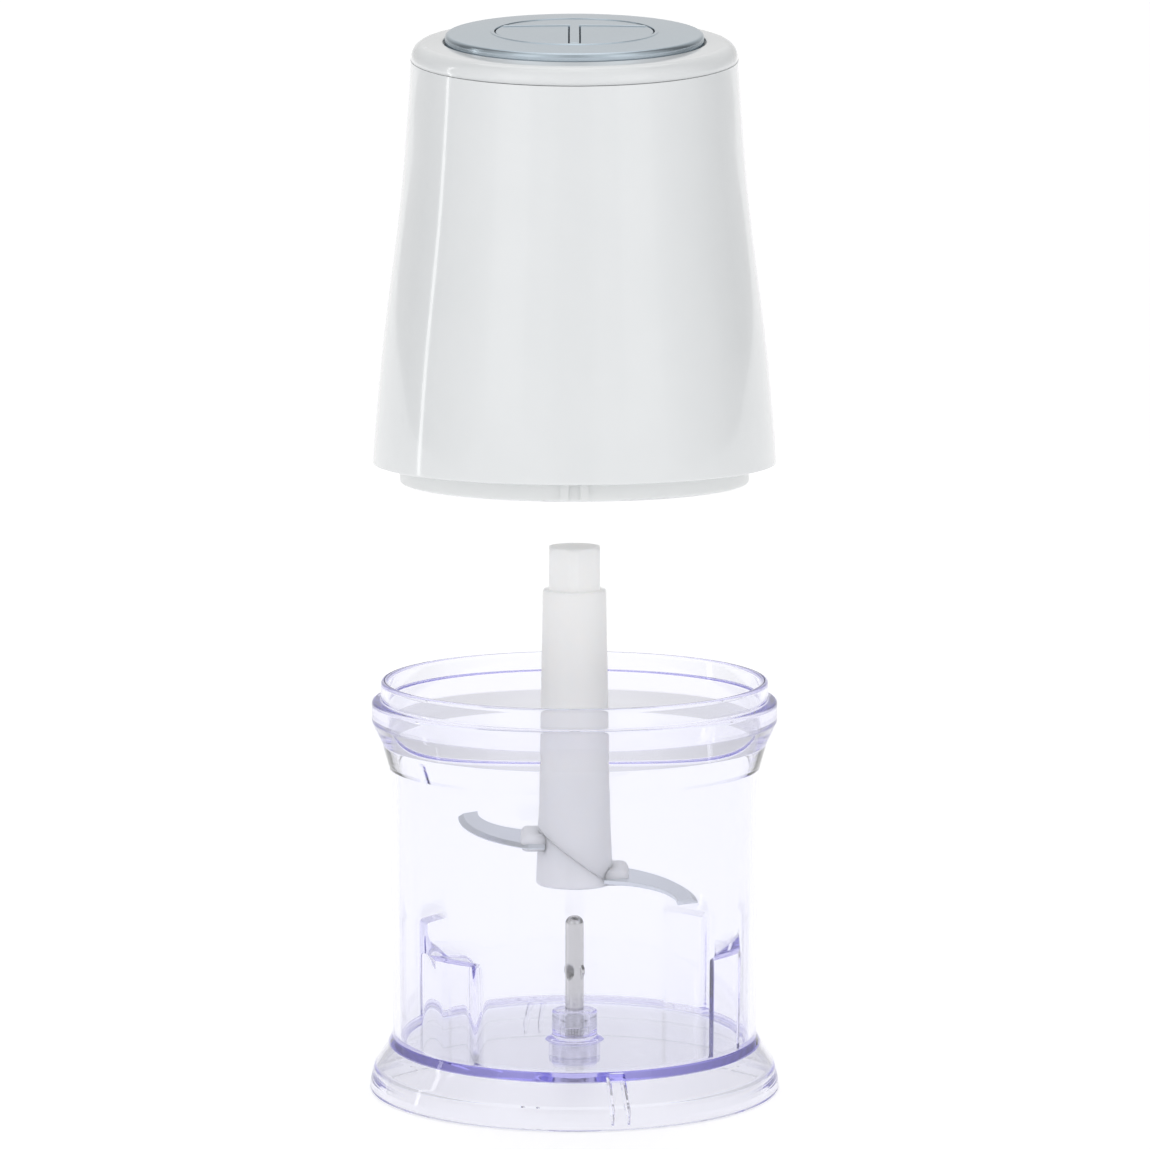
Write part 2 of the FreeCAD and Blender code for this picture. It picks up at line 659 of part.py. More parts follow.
def make_bearing(low, outer, inner, width):
    """Shielded ball bearing as one ring with grooved faces."""
    ring = tube(outer, inner, low, low + width)
    for face in (low - 0.1, low + width - 0.3):
        ring = ring.cut(tube(outer - 1.2, inner + 1.2, face, face + 0.4))
    return ring


def make_through_bolts():
    """Two long bolts that clamp the brackets to the stack."""
    bolts = []
    for side in (-1, 1):
        bolts.append(screw(side * THROUGH_BOLT_X, 0, TOP_BRACKET_Z + 2.2, BRACKET_Z, 1.8, 3.2, 1.4, -1))
    return Part.makeCompound(bolts)


def make_brush_holders():
    """Two square tubes that guide the carbon brushes, on feet from the bridge."""
    holders = []
    for side in (-1, 1):
        low_x, high_x = sorted((side * 11.0, side * 21.0))
        body = block((low_x, -4.2, 81.8), (high_x, 4.2, TOP_BRACKET_Z))
        slot_low, slot_high = sorted((side * 10.0, side * 19.5))
        holders.append(body.cut(block((slot_low, -2.6, 83.2), (slot_high, 2.6, 87.8))))
    return Part.makeCompound(holders)


def make_brushes():
    """Two carbon brushes against the commutator."""
    brushes = []
    for side in (-1, 1):
        low_x, high_x = sorted((side * 8.6, side * 18.0))
        brush = block((low_x, -2.5, 83.3), (high_x, 2.5, 87.7))
        brushes.append(brush.cut(rod_at(0, 0, 9.06, 80, 92)))
    return Part.makeCompound(brushes)


def make_motor_shaft():
    """Steel shaft through the armature."""
    return turned([(0, 20.6), (SHAFT_R, 20.6), (SHAFT_R, 95.0, 0.5), (0, 95.0)])


def make_armature_core():
    """Slotted steel stack on the shaft."""
    core = tube(ROTOR_R, SHAFT_R, STATOR_Z, STATOR_Z + STATOR_H)
    slots = []
    count = 12
    for index in range(count):
        x, y = polar(11.6, 360.0 * index / count)
        slots.append(rod_at(x, y, 2.1, STATOR_Z - 1, STATOR_Z + STATOR_H + 1))
        mouth = block((11.0, -0.6, STATOR_Z - 1), (17.0, 0.6, STATOR_Z + STATOR_H + 1))
        mouth.rotate(ORIGIN, UP, 360.0 * index / count)
        slots.append(mouth)
    return less(core, slots)


def make_armature_windings():
    """Copper in the slots, tied by a round bundle of end turns at each face."""
    low, high = STATOR_Z, STATOR_Z + STATOR_H
    parts = []
    for face_low, face_high in ((low - 2.9, low - 0.1), (high + 0.1, high + 3.9)):
        parts.append(turned([(SHAFT_R + 1.0, face_low), (13.9, face_low, 1.3), (13.9, face_high, 1.3),
                             (SHAFT_R + 1.0, face_high)]))
    count = 12
    for index in range(count):
        x, y = polar(11.6, 360.0 * index / count)
        parts.append(rod_at(x, y, 1.9, low - 1, high + 1))
    return joined(parts)


def make_commutator():
    """Copper commutator with segment slots."""
    body = tube(9.0, SHAFT_R, 82.2, 89.2)
    slots = []
    count = 24
    for index in range(count):
        slot = block((8.2, -0.2, 82.0), (10.0, 0.2, 89.5))
        slot.rotate(ORIGIN, UP, 360.0 * index / count)
        slots.append(slot)
    return less(body, slots)


def make_cooling_fan():
    """Radial fan under the armature."""
    blades = []
    count = 9
    for index in range(count):
        blade = block((5.0, -0.7, 38.6), (FAN_R - 1.0, 0.7, 43.2))
        blade.rotate(Vector(5, 0, 0), UP, 18.0)
        blade.rotate(ORIGIN, UP, 360.0 * index / count)
        blades.append(blade)
    plate = tube(FAN_R, SHAFT_R, 37.2, 38.8)
    hub = tube(6.0, SHAFT_R, 37.2, 43.2)
    fan = joined([plate, hub] + blades)
    return fan.common(tube(FAN_R, 0, 30, 50))


# ---- head: gears and drive ----------------------------------------------------------
def involute_angle(radius, base):
    """Polar angle that an involute has turned through at a radius."""
    if radius <= base:
        return 0.0
    pressure = math.acos(base / radius)
    return math.tan(pressure) - pressure


def gear_points(teeth, root, tip, internal):
    """Corner points of a spur gear's outline, one tooth centred on +X."""
    pitch_r = GEAR_MODULE * teeth / 2
    base = pitch_r * math.cos(PRESSURE_ANGLE)
    half_thick = (math.pi * GEAR_MODULE / 2 - BACKLASH) / 2 / pitch_r
    flank = sorted((root, tip))
    steps = 4
    radii = [flank[0] + (flank[1] - flank[0]) * step / steps for step in range(steps + 1)]
    sign = -1.0 if internal else 1.0
    profile = []
    for radius in radii:
        drift = involute_angle(radius, base) - involute_angle(pitch_r, base)
        profile.append((radius, half_thick - sign * drift))
    if internal:
        profile = profile[::-1]
    points = []
    for tooth in range(teeth):
        middle = 2 * math.pi * tooth / teeth
        for radius, half in profile:
            points.append((radius, middle - half))
        for radius, half in profile[::-1]:
            points.append((radius, middle + half))
    return [Vector(radius * math.cos(angle), radius * math.sin(angle), 0) for radius, angle in points]


def gear_solid(teeth, root, tip, low, face, internal=False):
    """Extruded gear outline: a gear, or the space inside a ring gear."""
    points = gear_points(teeth, root, tip, internal)
    outline_face = Part.Face(Part.makePolygon(points + [points[0]]))
    outline_face.translate(Vector(0, 0, low))
    return outline_face.extrude(Vector(0, 0, face))


def make_sun_gear():
    """Pinion on the motor shaft."""
    gear = gear_solid(SUN_TEETH, 4.3, 6.2, GEAR_Z, GEAR_FACE)
    return gear.cut(rod_at(0, 0, SHAFT_R, 10, 40))


def make_planet_gear(angle):
    """One planet gear, turned so that a gap faces the sun."""
    gear = gear_solid(PLANET_TEETH, 4.3, 6.2, GEAR_Z, GEAR_FACE)
    gear = gear.cut(rod_at(0, 0, 2.06, 10, 40))
    gear.rotate(ORIGIN, UP, 180.0 / PLANET_TEETH)
    gear.translate(Vector(PLANET_ORBIT, 0, 0))
    gear.rotate(ORIGIN, UP, angle)
    return gear


def make_ring_gear():
    """Fixed ring gear, pressed into the gear case."""
    blank = rod_at(0, 0, 21.2, GEAR_Z - 0.2, GEAR_Z + GEAR_FACE + 0.4)
    space = gear_solid(RING_TEETH, 17.4, 15.68, GEAR_Z - 1, GEAR_FACE + 3, True)
    return blank.cut(space)


def make_gear_case():
    """Cup that holds the ring gear and the output bush, on four rubber-mounted ears."""
    case = turned([
        (7.6, 8.9), (24.0, 8.9, 1.0), (24.0, BRACKET_Z), (21.2, BRACKET_Z), (21.2, 11.4), (10.0, 11.4),
        (10.0, 16.4), (7.6, 16.4)])
    ears = []
    holes = []
    for angle in QUARTERS:
        x, y = polar(MOUNT_ORBIT, angle)
        arm = block((22.5, -5.0, 11.8), (MOUNT_ORBIT, 5.0, 13.8))
        arm.rotate(ORIGIN, UP, angle)
        ears += [rod_at(x, y, 5.0, 11.8, 13.8), arm]
        holes.append(rod_at(x, y, 1.9, 5, 20))
    return less(joined([case] + ears), holes)


def make_motor_mounts():
    """Four rubber rings under the ears of the gear case."""
    rings = []
    top = COVER_PLATE_H + COVER_PLATE_T + 0.4
    for angle in QUARTERS:
        x, y = polar(MOUNT_ORBIT, angle)
        ring = tube(4.8, 1.9, top, 11.8)
        ring.translate(Vector(x, y, 0))
        rings.append(ring)
    return Part.makeCompound(rings)


def make_mount_screws():
    """Four screws that hold the gear case down on its rubber rings."""
    screws = []
    for angle in QUARTERS:
        x, y = polar(MOUNT_ORBIT, angle)
        screws.append(screw(x, y, 13.8, COVER_PLATE_H, 1.8, 3.2, 1.8, -1))
    return Part.makeCompound(screws)


def make_drive_coupler():
    """Turning socket that takes the hub's drive end, on a steel-hard shaft."""
    cup = turned([
        (0, COUPLER_FOOT), (COUPLER_R, COUPLER_FOOT, 0.8), (COUPLER_R, 5.4, 1.2), (DRIVE_SHAFT_R, 6.4),
        (DRIVE_SHAFT_R, 20.2), (0, 20.2)])
    socket = rod_at(0, 0, DRIVE_R + 0.3, COUPLER_FOOT - 1, SOCKET_TOP)
    socket = socket.common(hex_bar(DRIVE_FLAT + 0.3, COUPLER_FOOT - 1, SOCKET_TOP, 30.0))
    mouth = Part.makeCone(DRIVE_R + 1.6, DRIVE_R - 0.4, 2.0, Vector(0, 0, COUPLER_FOOT))
    return less(cup, [socket, mouth])


def make_planet_carrier():
    """Disc that carries the planet gears, pressed on the coupler's shaft."""
    disc = tube(15.2, DRIVE_SHAFT_R, 17.2, 20.2)
    holes = []
    for index in range(PLANETS):
        x, y = polar(PLANET_ORBIT, 360.0 * index / PLANETS)
        holes.append(rod_at(x, y, 2.0, 10, 40))
    return less(disc, holes)


def make_planet_pins():
    """Three pins for the planet gears."""
    pins = []
    for index in range(PLANETS):
        x, y = polar(PLANET_ORBIT, 360.0 * index / PLANETS)
        pins.append(rod_at(x, y, 2.0, 17.4, 28.8))
    return Part.makeCompound(pins)


def make_output_bush():
    """Sintered bush that the coupler's shaft runs in."""
    return tube(7.6, DRIVE_SHAFT_R + 0.05, 8.8, 16.8)


def make_shaft_seal():
    """Rubber ring that keeps food out of the gear case."""
    return turned([
        (DRIVE_SHAFT_R + 0.35, 7.0), (7.2, 7.0), (7.2, 8.5), (DRIVE_SHAFT_R + 0.35, 8.5)]).fuse(
        turned([(6.8, 7.4), (12.4, 7.4), (12.4, 8.8), (6.8, 8.8)]))


# ---- build --------------------------------------------------------------------------
def build():
    """Makes every piece at its place at rest, by name."""
    nodes = {"bowl": make_bowl(), "bowl_pin": make_bowl_pin()}
    nodes["hub_bush"] = in_hub(make_hub_bush())
    body, foot, upper, lower = make_blade_unit()
    nodes["hub_body"] = in_hub(body)
    nodes["hub_foot"] = in_hub(foot)
    nodes["blade_upper"] = in_hub(upper)
    nodes["blade_lower"] = in_hub(lower)

    nodes["head_housing"] = in_head(make_housing())
    nodes["bottom_cover"] = in_head(make_bottom_cover())
    nodes["cover_screws"] = in_head(make_cover_screws())
    nodes["cable_grommet"] = in_head(make_cable_grommet())

    nodes["top_cover"] = in_top(make_top_cover())
    nodes["top_disc"] = in_top(make_top_disc())
    nodes["key_frame"] = in_top(make_key_frame())
    nodes["key_frame_base"] = in_top(make_key_frame_base())
    cap, post, plunger = make_key_parts()
    key_sides = (("right", lambda shape: shape), ("left", mirrored))
    for side, placed in key_sides:
        nodes["key_" + side] = in_top(placed(cap))
        nodes["key_post_" + side] = in_top(placed(post))
        nodes["switch_plunger_" + side] = in_top(placed(plunger))
        nodes["key_spring_" + side] = in_top(placed(make_key_spring()))
        nodes["switch_" + side] = in_top(placed(make_switch()))
    nodes["switch_board"] = in_top(make_switch_board())
    nodes["board_screws"] = in_top(make_board_screws())
    nodes["capacitor"] = in_top(make_capacitor())
    nodes["terminal_block"] = in_top(make_terminal_block())

    nodes["motor_stator"] = in_head(make_stator())
    nodes["field_coils"] = in_head(make_field_coils())
    nodes["motor_bracket_lower"] = in_head(make_lower_bracket())
    nodes["motor_bracket_upper"] = in_head(make_upper_bracket())
    nodes["bearing_lower"] = in_head(make_bearing(BRACKET_Z - 0.2, 8.0, SHAFT_R + 0.03, 4.6))
    nodes["bearing_upper"] = in_head(make_bearing(TOP_BRACKET_Z, 6.5, SHAFT_R + 0.03, 4.0))
    nodes["through_bolts"] = in_head(make_through_bolts())
    nodes["brush_holders"] = in_head(make_brush_holders())
    nodes["carbon_brushes"] = in_head(make_brushes())

    nodes["motor_shaft"] = in_head(make_motor_shaft())
    nodes["armature_core"] = in_head(make_armature_core())
    nodes["armature_windings"] = in_head(make_armature_windings().cut(make_armature_core()))
    nodes["commutator"] = in_head(make_commutator())
    nodes["cooling_fan"] = in_head(make_cooling_fan())
    nodes["sun_gear"] = in_head(make_sun_gear())

    nodes["gear_case"] = in_head(make_gear_case())
    nodes["ring_gear"] = in_head(make_ring_gear())
    nodes["output_bush"] = in_head(make_output_bush())
    nodes["shaft_seal"] = in_head(make_shaft_seal())
    nodes["motor_mounts"] = in_head(make_motor_mounts())
    nodes["mount_screws"] = in_head(make_mount_screws())
    nodes["drive_coupler"] = in_head(make_drive_coupler())
    nodes["planet_carrier"] = in_head(make_planet_carrier())
    nodes["planet_pins"] = in_head(make_planet_pins())
    for index in range(PLANETS):
        angle = 360.0 * index / PLANETS
        nodes["planet_gear_%d" % (index + 1)] = in_head(make_planet_gear(angle))
    return nodes


def export(nodes):
    """Writes one STEP file for each piece."""
    os.makedirs("parts", exist_ok=True)
    for name, shape in nodes.items():
        shape.exportStep("parts/" + name + ".step")
        solids = shape.Solids
        print("%-22s solids %2d valid %s volume %9.1f" % (name, len(solids), shape.isValid(), shape.Volume))


export(build())
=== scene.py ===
"""Looks of a mini food chopper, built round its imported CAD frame.

The visible shells, steel, glass-clear bowl and blades are rebuilt as smooth surfaces; the
parts that work inside the head keep their CAD shape and get a finish.
"""

import json
import logging
import math
from dataclasses import dataclass, field
from enum import Enum
from typing import Callable, Sequence

import bmesh
import bpy
import numpy as np
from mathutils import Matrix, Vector


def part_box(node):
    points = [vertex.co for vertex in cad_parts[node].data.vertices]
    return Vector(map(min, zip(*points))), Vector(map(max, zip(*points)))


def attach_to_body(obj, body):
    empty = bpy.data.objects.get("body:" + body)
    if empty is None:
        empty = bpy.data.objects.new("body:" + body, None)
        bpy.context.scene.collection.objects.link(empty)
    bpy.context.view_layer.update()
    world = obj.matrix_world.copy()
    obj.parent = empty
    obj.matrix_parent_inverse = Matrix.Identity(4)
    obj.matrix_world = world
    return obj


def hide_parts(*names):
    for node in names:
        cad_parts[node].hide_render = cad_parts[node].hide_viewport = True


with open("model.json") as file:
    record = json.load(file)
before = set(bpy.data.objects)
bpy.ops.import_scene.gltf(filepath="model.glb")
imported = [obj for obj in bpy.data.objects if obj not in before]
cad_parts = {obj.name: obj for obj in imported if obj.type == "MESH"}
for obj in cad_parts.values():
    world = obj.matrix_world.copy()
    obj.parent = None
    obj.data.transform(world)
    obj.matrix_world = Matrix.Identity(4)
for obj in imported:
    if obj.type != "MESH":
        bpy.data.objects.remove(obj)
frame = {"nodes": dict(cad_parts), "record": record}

LOG = logging.getLogger("chopper")
MM = 0.001
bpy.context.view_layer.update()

Array = np.ndarray


# ---------------------------------------------------------------------------------------
# Places, read from the frame
# ---------------------------------------------------------------------------------------
RIM_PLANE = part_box("head_housing")[0].z / MM
HUB_FOOT_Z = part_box("hub_foot")[0].z / MM
TOP_LEAN = math.radians(7.0)
HEAD_H = 114.6


class Body(str, Enum):
    """The CAD bodies that pieces ride on."""

    BOWL = "bowl"
    BUSH = "bush"
    BLADES = "blade_unit"
    HEAD = "head"
    KEY_LEFT = "key_left"
    KEY_RIGHT = "key_right"
    ROTOR = "rotor"
    DRIVE = "drive"


# ---------------------------------------------------------------------------------------
# Surface tools
# ---------------------------------------------------------------------------------------
@dataclass(frozen=True)
class Corner:
    """One corner of a turned outline, in millimetres.

    Args:
        r: distance from the axis.
        z: height.
        round: radius that rounds the corner; 0 leaves it sharp.
    """

    r: float
    z: float
    round: float = 0.0


def trace(corners: Sequence[Corner], steps: int = 7, closed: bool = True, hold: float = 0.25) -> Array:
    """Outline through the corners, each rounded by an arc tangent to both of its sides.

    The arc's centre lies on the corner's bisector, at the rounding radius over the sine of
    half the corner's angle.  A point is held close to each end of an arc, so that the flat
    sides beside it stay flat when they are shaded smooth.

    Args:
        corners: the corners in order.
        steps: segments in each arc.
        closed: whether the last corner joins the first.
        hold: distance of the held points from the arc's ends, in millimetres.

    Returns:
        An (n, 2) array of r and z.
    """
    points: list[Array] = []
    count = len(corners)
    for index, corner in enumerate(corners):
        here = np.array([corner.r, corner.z])
        ends = not closed and index in (0, count - 1)
        if corner.round <= 0 or ends:
            points.append(here[None, :])
            continue
        before = corners[index - 1]
        after = corners[(index + 1) % count]
        to_before = np.array([before.r, before.z]) - here
        to_after = np.array([after.r, after.z]) - here
        side_before, side_after = np.linalg.norm(to_before), np.linalg.norm(to_after)
        to_before, to_after = to_before / side_before, to_after / side_after
        half = math.acos(float(np.clip(to_before @ to_after, -1, 1))) / 2
        radius = min(corner.round, 0.48 * math.tan(half) * min(side_before, side_after))
        reach = radius / math.tan(half)
        bisector = to_before + to_after
        bisector = bisector / np.linalg.norm(bisector)
        fine = max(3, min(steps, round(2 + 1.6 * radius)))
        centre = here + bisector * radius / math.sin(half)
        start = here + to_before * reach - centre
        end = here + to_after * reach - centre
        turn = math.atan2(start[0] * end[1] - start[1] * end[0], start @ end)
        angles = math.atan2(start[1], start[0]) + turn * np.linspace(0, 1, fine + 1)
        arc = centre + radius * np.stack([np.cos(angles), np.sin(angles)], 1)
        room = 0.5 * (min(side_before, side_after) - reach)
        gap = min(hold, room)
        if gap > 0.05:
            arc = np.concatenate([[arc[0] + to_before * gap], arc, [arc[-1] + to_after * gap]])
        points.append(arc)
    return np.concatenate(points)


def refine(outline: Array, longest: float, cuts: Sequence[tuple[float, float, float]] = ()) -> Array:
    """Adds points along an outline: none is further than a length from the next.

    Args:
        outline: (n, 2) points.
        longest: longest segment in millimetres.
        cuts: (lowest r, highest r, z) places where the outline gets a point as it crosses z.

    Returns:
        The same path with more points.
    """
    step = np.hypot(*np.diff(outline, axis=0).T)
    length = np.concatenate([[0.0], np.cumsum(step)])
    parts = np.maximum(1, np.ceil(step / longest)).astype(int)
    order = np.arange(parts.sum()) - np.repeat(np.cumsum(parts) - parts, parts)
    at = [np.repeat(length[:-1], parts) + order * np.repeat(step / parts, parts), length[-1:]]
    middle = (outline[:-1, 0] + outline[1:, 0]) / 2
    for low, high, z in cuts:
        before, after = outline[:-1, 1] - z, outline[1:, 1] - z
        crossed = (before * after < 0) & (middle > low) & (middle < high)
        at.append((length[:-1] + step * before / np.where(crossed, before - after, 1.0))[crossed])
    at = np.unique(np.round(np.concatenate(at), 5))
    return np.stack([np.interp(at, length, outline[:, 0]), np.interp(at, length, outline[:, 1])], 1)


def smooth_curve(knots: Array, count: int) -> Array:
    """Natural cubic curve through the knots, evenly spread over its chord length.

    Each knot's second derivative solves the usual three-term rows; between two knots the
    curve is the cubic that has those derivatives at its ends.

    Args:
        knots: (n, 2) points that the curve passes through.
        count: points to return.

    Returns:
        A (count, 2) array.
    """
    chord = np.concatenate([[0.0], np.cumsum(np.linalg.norm(np.diff(knots, axis=0), axis=1))])
    width = np.diff(chord)
    size = len(knots)
    rows = np.eye(size)
    slopes = np.diff(knots, axis=0) / width[:, None]
    inner = np.arange(1, size - 1)
    rows[inner, inner - 1] = width[:-1]
    rows[inner, inner] = 2 * (width[:-1] + width[1:])
    rows[inner, inner + 1] = width[1:]
    right = np.zeros_like(knots)
    right[1:-1] = 6 * np.diff(slopes, axis=0)
    bend = np.linalg.solve(rows, right)
    at = np.linspace(0, chord[-1], count)
    span = np.clip(np.searchsorted(chord, at, side="right") - 1, 0, size - 2)
    h = width[span][:, None]
    a = ((chord[span + 1] - at)[:, None]) / h
    b = 1 - a
    return (a * knots[span] + b * knots[span + 1]
            + ((a ** 3 - a) * bend[span] + (b ** 3 - b) * bend[span + 1]) * h ** 2 / 6)


def ring_angles(count: int, edges: Sequence[float] = (), ramp: float = 0.35) -> Array:
    """Angles round a circle, evenly spread, with a pair set close together at each edge.

    Args:
        count: even angles round the circle.
        edges: angles in degrees where a step in the surface lies.
        ramp: degrees between the two angles of a pair.

    Returns:
        Sorted angles in radians, from 0 up to a full turn.
    """
    even = np.linspace(0, 360, count, endpoint=False)
    marks = np.mod(np.array([edge + side * ramp / 2 for edge in edges for side in (-1, 1)]), 360)
    if len(marks):
        away = np.abs((even[:, None] - marks[None, :] + 180) % 360 - 180).min(1)
        even = even[away > ramp]
    return np.radians(np.sort(np.concatenate([even, marks])))


def window(angles: Array, low: float, high: float, ramp: float = 0.35) -> Array:
    """1 between two angles in degrees and 0 outside, with a straight ramp at each edge."""
    middle, half = (low + high) / 2, (high - low) / 2
    away = np.abs((np.degrees(angles) - middle + 180) % 360 - 180)
    return np.clip((half + ramp / 2 - away) / ramp, 0, 1)


@dataclass
class Surface:
    """Vertices and faces of one piece, in millimetres, gathered before its mesh is made."""

    vertices: list[Array] = field(default_factory=list)
    faces: list[Array] = field(default_factory=list)
    total: int = 0

    def add(self, points: Array, faces: Array) -> None:
        """Adds an (n, 3) array of points and an (m, 3 or 4) array of their indices."""
        self.vertices.append(points.reshape(-1, 3))
        self.faces.append(faces + self.total)
        self.total += len(self.vertices[-1])

    def grid(self, points: Array, wrap_u: bool = False, wrap_v: bool = False,
             keep: Array | None = None) -> None:
        """Adds a grid of points, joined by quads whose normal is u crossed with v.

        Args:
            points: (u, v, 3) array.
            wrap_u: whether the last row joins the first.
            wrap_v: whether the last column joins the first.
            keep: mask of the quads to keep, of the quads' own grid shape.
        """
        rows, columns = points.shape[:2]
        index = np.arange(rows * columns).reshape(rows, columns)
        if wrap_u:
            index = np.concatenate([index, index[:1]])
        if wrap_v:
            index = np.concatenate([index, index[:, :1]], 1)
        quads = np.stack([index[:-1, :-1], index[1:, :-1], index[1:, 1:], index[:-1, 1:]], -1)
        quads = quads.reshape(-1, 4) if keep is None else quads[keep]
        self.add(points, quads)

    def lathe(self, radius: Array, height: Array, angles: Array, closed: bool = True) -> None:
        """Adds a turned surface: point (i, j) lies at angle i, radius (i, j), height (i, j).

        An outline that goes up on the outside gives outward normals.  An open outline that
        starts or ends on the axis is closed there by a fan.

        Args:
            radius: (angles, points) or (points,) array.
            height: the same, for the heights.
            angles: angles round the axis, in radians.
            closed: whether the outline's last point joins its first.
        """
        radius = np.broadcast_to(radius, (len(angles), radius.shape[-1])).copy()
        height = np.broadcast_to(height, radius.shape)
        points = np.stack([radius * np.cos(angles)[:, None], radius * np.sin(angles)[:, None], height], -1)
        if closed:
            self.grid(points, wrap_u=True, wrap_v=True)
            return
        first_pole, last_pole = radius[:, 0].max() < 1e-6, radius[:, -1].max() < 1e-6
        inner = points[:, (1 if first_pole else 0):(-1 if last_pole else None)]
        base = self.total
        self.grid(inner, wrap_u=True)
        count, columns = inner.shape[:2]
        around = np.arange(count)
        following = (around + 1) % count
        if first_pole:
            pole = self.total
            self.add(points[:1, 0], np.zeros((0, 3), int))
            self.faces.append(np.stack([np.full(count, pole), base + following * columns,
                                        base + around * columns], 1))
        if last_pole:
            pole = self.total
            self.add(points[:1, -1], np.zeros((0, 3), int))
            end = columns - 1
            self.faces.append(np.stack([np.full(count, pole), base + around * columns + end,
                                        base + following * columns + end], 1))

    def moved(self, move: Callable[[Array], Array]) -> "Surface":
        """Passes every point through a function and returns the same surface."""
        self.vertices = [move(points) for points in self.vertices]
        return self

    def mesh(self, name: str, sharp: float = 32.0, weld: float = 0.002) -> bpy.types.Object:
        """Makes the Blender object, in metres, shaded smooth with sharp creases.

        Args:
            name: name of the piece.
            sharp: angle in degrees past which an edge is a crease.
            weld: distance in millimetres under which points are one.

        Returns:
            The new object, at the origin.
        """
        points = np.concatenate(self.vertices) * MM
        data = bpy.data.meshes.new(name)
        data.from_pydata(points, [], [face for block in self.faces for face in block.tolist()])
        obj = bpy.data.objects.new(name, data)
        bpy.context.scene.collection.objects.link(obj)
        work = bmesh.new()
        work.from_mesh(data)
        bmesh.ops.remove_doubles(work, verts=work.verts, dist=weld * MM)
        work.to_mesh(data)
        work.free()
        data.validate()
        data.shade_smooth()
        data.set_sharp_from_angle(angle=math.radians(sharp))
        LOG.info("%s: %d vertices, %d faces", name, len(data.vertices), len(data.polygons))
        return obj


def in_head(points: Array) -> Array:
    """Moves heights above the head's rim plane to the frame."""
    return points + np.array([0.0, 0.0, RIM_PLANE])


def in_top(points: Array) -> Array:
    """Moves heights above the leaning shoulder plane to the frame."""
    cos, sin = math.cos(TOP_LEAN), math.sin(TOP_LEAN)
    x, y, z = points[:, 0], points[:, 1], points[:, 2]
    return np.stack([x, y * cos - z * sin, y * sin + z * cos + RIM_PLANE + HEAD_H], 1)


def about_x(angle: float) -> Array:
    """Rotation matrix about X, by an angle in radians."""
    cos, sin = math.cos(angle), math.sin(angle)
    return np.array([[1, 0, 0], [0, cos, -sin], [0, sin, cos]])


def about_z(angle: float) -> Array:
    """Rotation matrix about Z, by an angle in radians."""
    cos, sin = math.cos(angle), math.sin(angle)
    return np.array([[cos, -sin, 0], [sin, cos, 0], [0, 0, 1]])


def in_hub(points: Array) -> Array:
    """Moves heights above the hub's underside to the frame."""
    return points + np.array([0.0, 0.0, HUB_FOOT_Z])


# ---------------------------------------------------------------------------------------
# Finishes
# ---------------------------------------------------------------------------------------
Rgb = tuple[float, float, float]


def group_tree(name: str, inputs: dict[str, tuple[str, float]],
               outputs: dict[str, str]) -> bpy.types.NodeTree:
    """Starts a shader group with named sockets.

    Args:
        name: name of the group.
        inputs: socket name to (kind, default).
        outputs: socket name to kind.

    Returns:
        The group, with its Group Input and Group Output nodes named "in" and "out".
    """
    tree = bpy.data.node_groups.new(name, "ShaderNodeTree")
    for label, (kind, default) in inputs.items():
        socket = tree.interface.new_socket(label, in_out="INPUT", socket_type="NodeSocket" + kind)
        socket.default_value = default
    for label, kind in outputs.items():
        tree.interface.new_socket(label, in_out="OUTPUT", socket_type="NodeSocket" + kind)
    tree.nodes.new("NodeGroupInput").name = "in"
    tree.nodes.new("NodeGroupOutput").name = "out"
    return tree


def wire(tree: bpy.types.NodeTree, source: bpy.types.NodeSocket, target: bpy.types.NodeSocket) -> None:
    """Links two sockets."""
    tree.links.new(source, target)


def maths(tree: bpy.types.NodeTree, operation: str, first: object, second: object = 0.0,
          clamp: bool = False) -> bpy.types.NodeSocket:
    """Adds a Math node.

    Args:
        tree: tree to add to.
        operation: the node's operation.
        first: socket or number.
        second: socket or number.
        clamp: whether the result is clamped to 0..1.

    Returns:
        The node's output socket.
    """
    node = tree.nodes.new("ShaderNodeMath")
    node.operation = operation
    node.use_clamp = clamp
    for slot, value in enumerate((first, second)):
        if isinstance(value, bpy.types.NodeSocket):
            wire(tree, value, node.inputs[slot])
        else:
            node.inputs[slot].default_value = value
    return node.outputs[0]


def noise(tree: bpy.types.NodeTree, vector: bpy.types.NodeSocket, scale: object, detail: float = 3.0,
          rough: float = 0.55) -> bpy.types.NodeSocket:
    """Adds a noise texture and returns its Factor output."""
    node = tree.nodes.new("ShaderNodeTexNoise")
    wire(tree, vector, node.inputs["Vector"])
    if isinstance(scale, bpy.types.NodeSocket):
        wire(tree, scale, node.inputs["Scale"])
    else:
        node.inputs["Scale"].default_value = scale
    node.inputs["Detail"].default_value = detail
    node.inputs["Roughness"].default_value = rough
    return node.outputs["Fac"]


def spread(tree: bpy.types.NodeTree, value: bpy.types.NodeSocket, low: object,
           high: object) -> bpy.types.NodeSocket:
    """Maps 0..1 to low..high."""
    node = tree.nodes.new("ShaderNodeMapRange")
    wire(tree, value, node.inputs["Value"])
    for label, bound in (("To Min", low), ("To Max", high)):
        if isinstance(bound, bpy.types.NodeSocket):
            wire(tree, bound, node.inputs[label])
        else:
            node.inputs[label].default_value = bound
    return node.outputs["Result"]


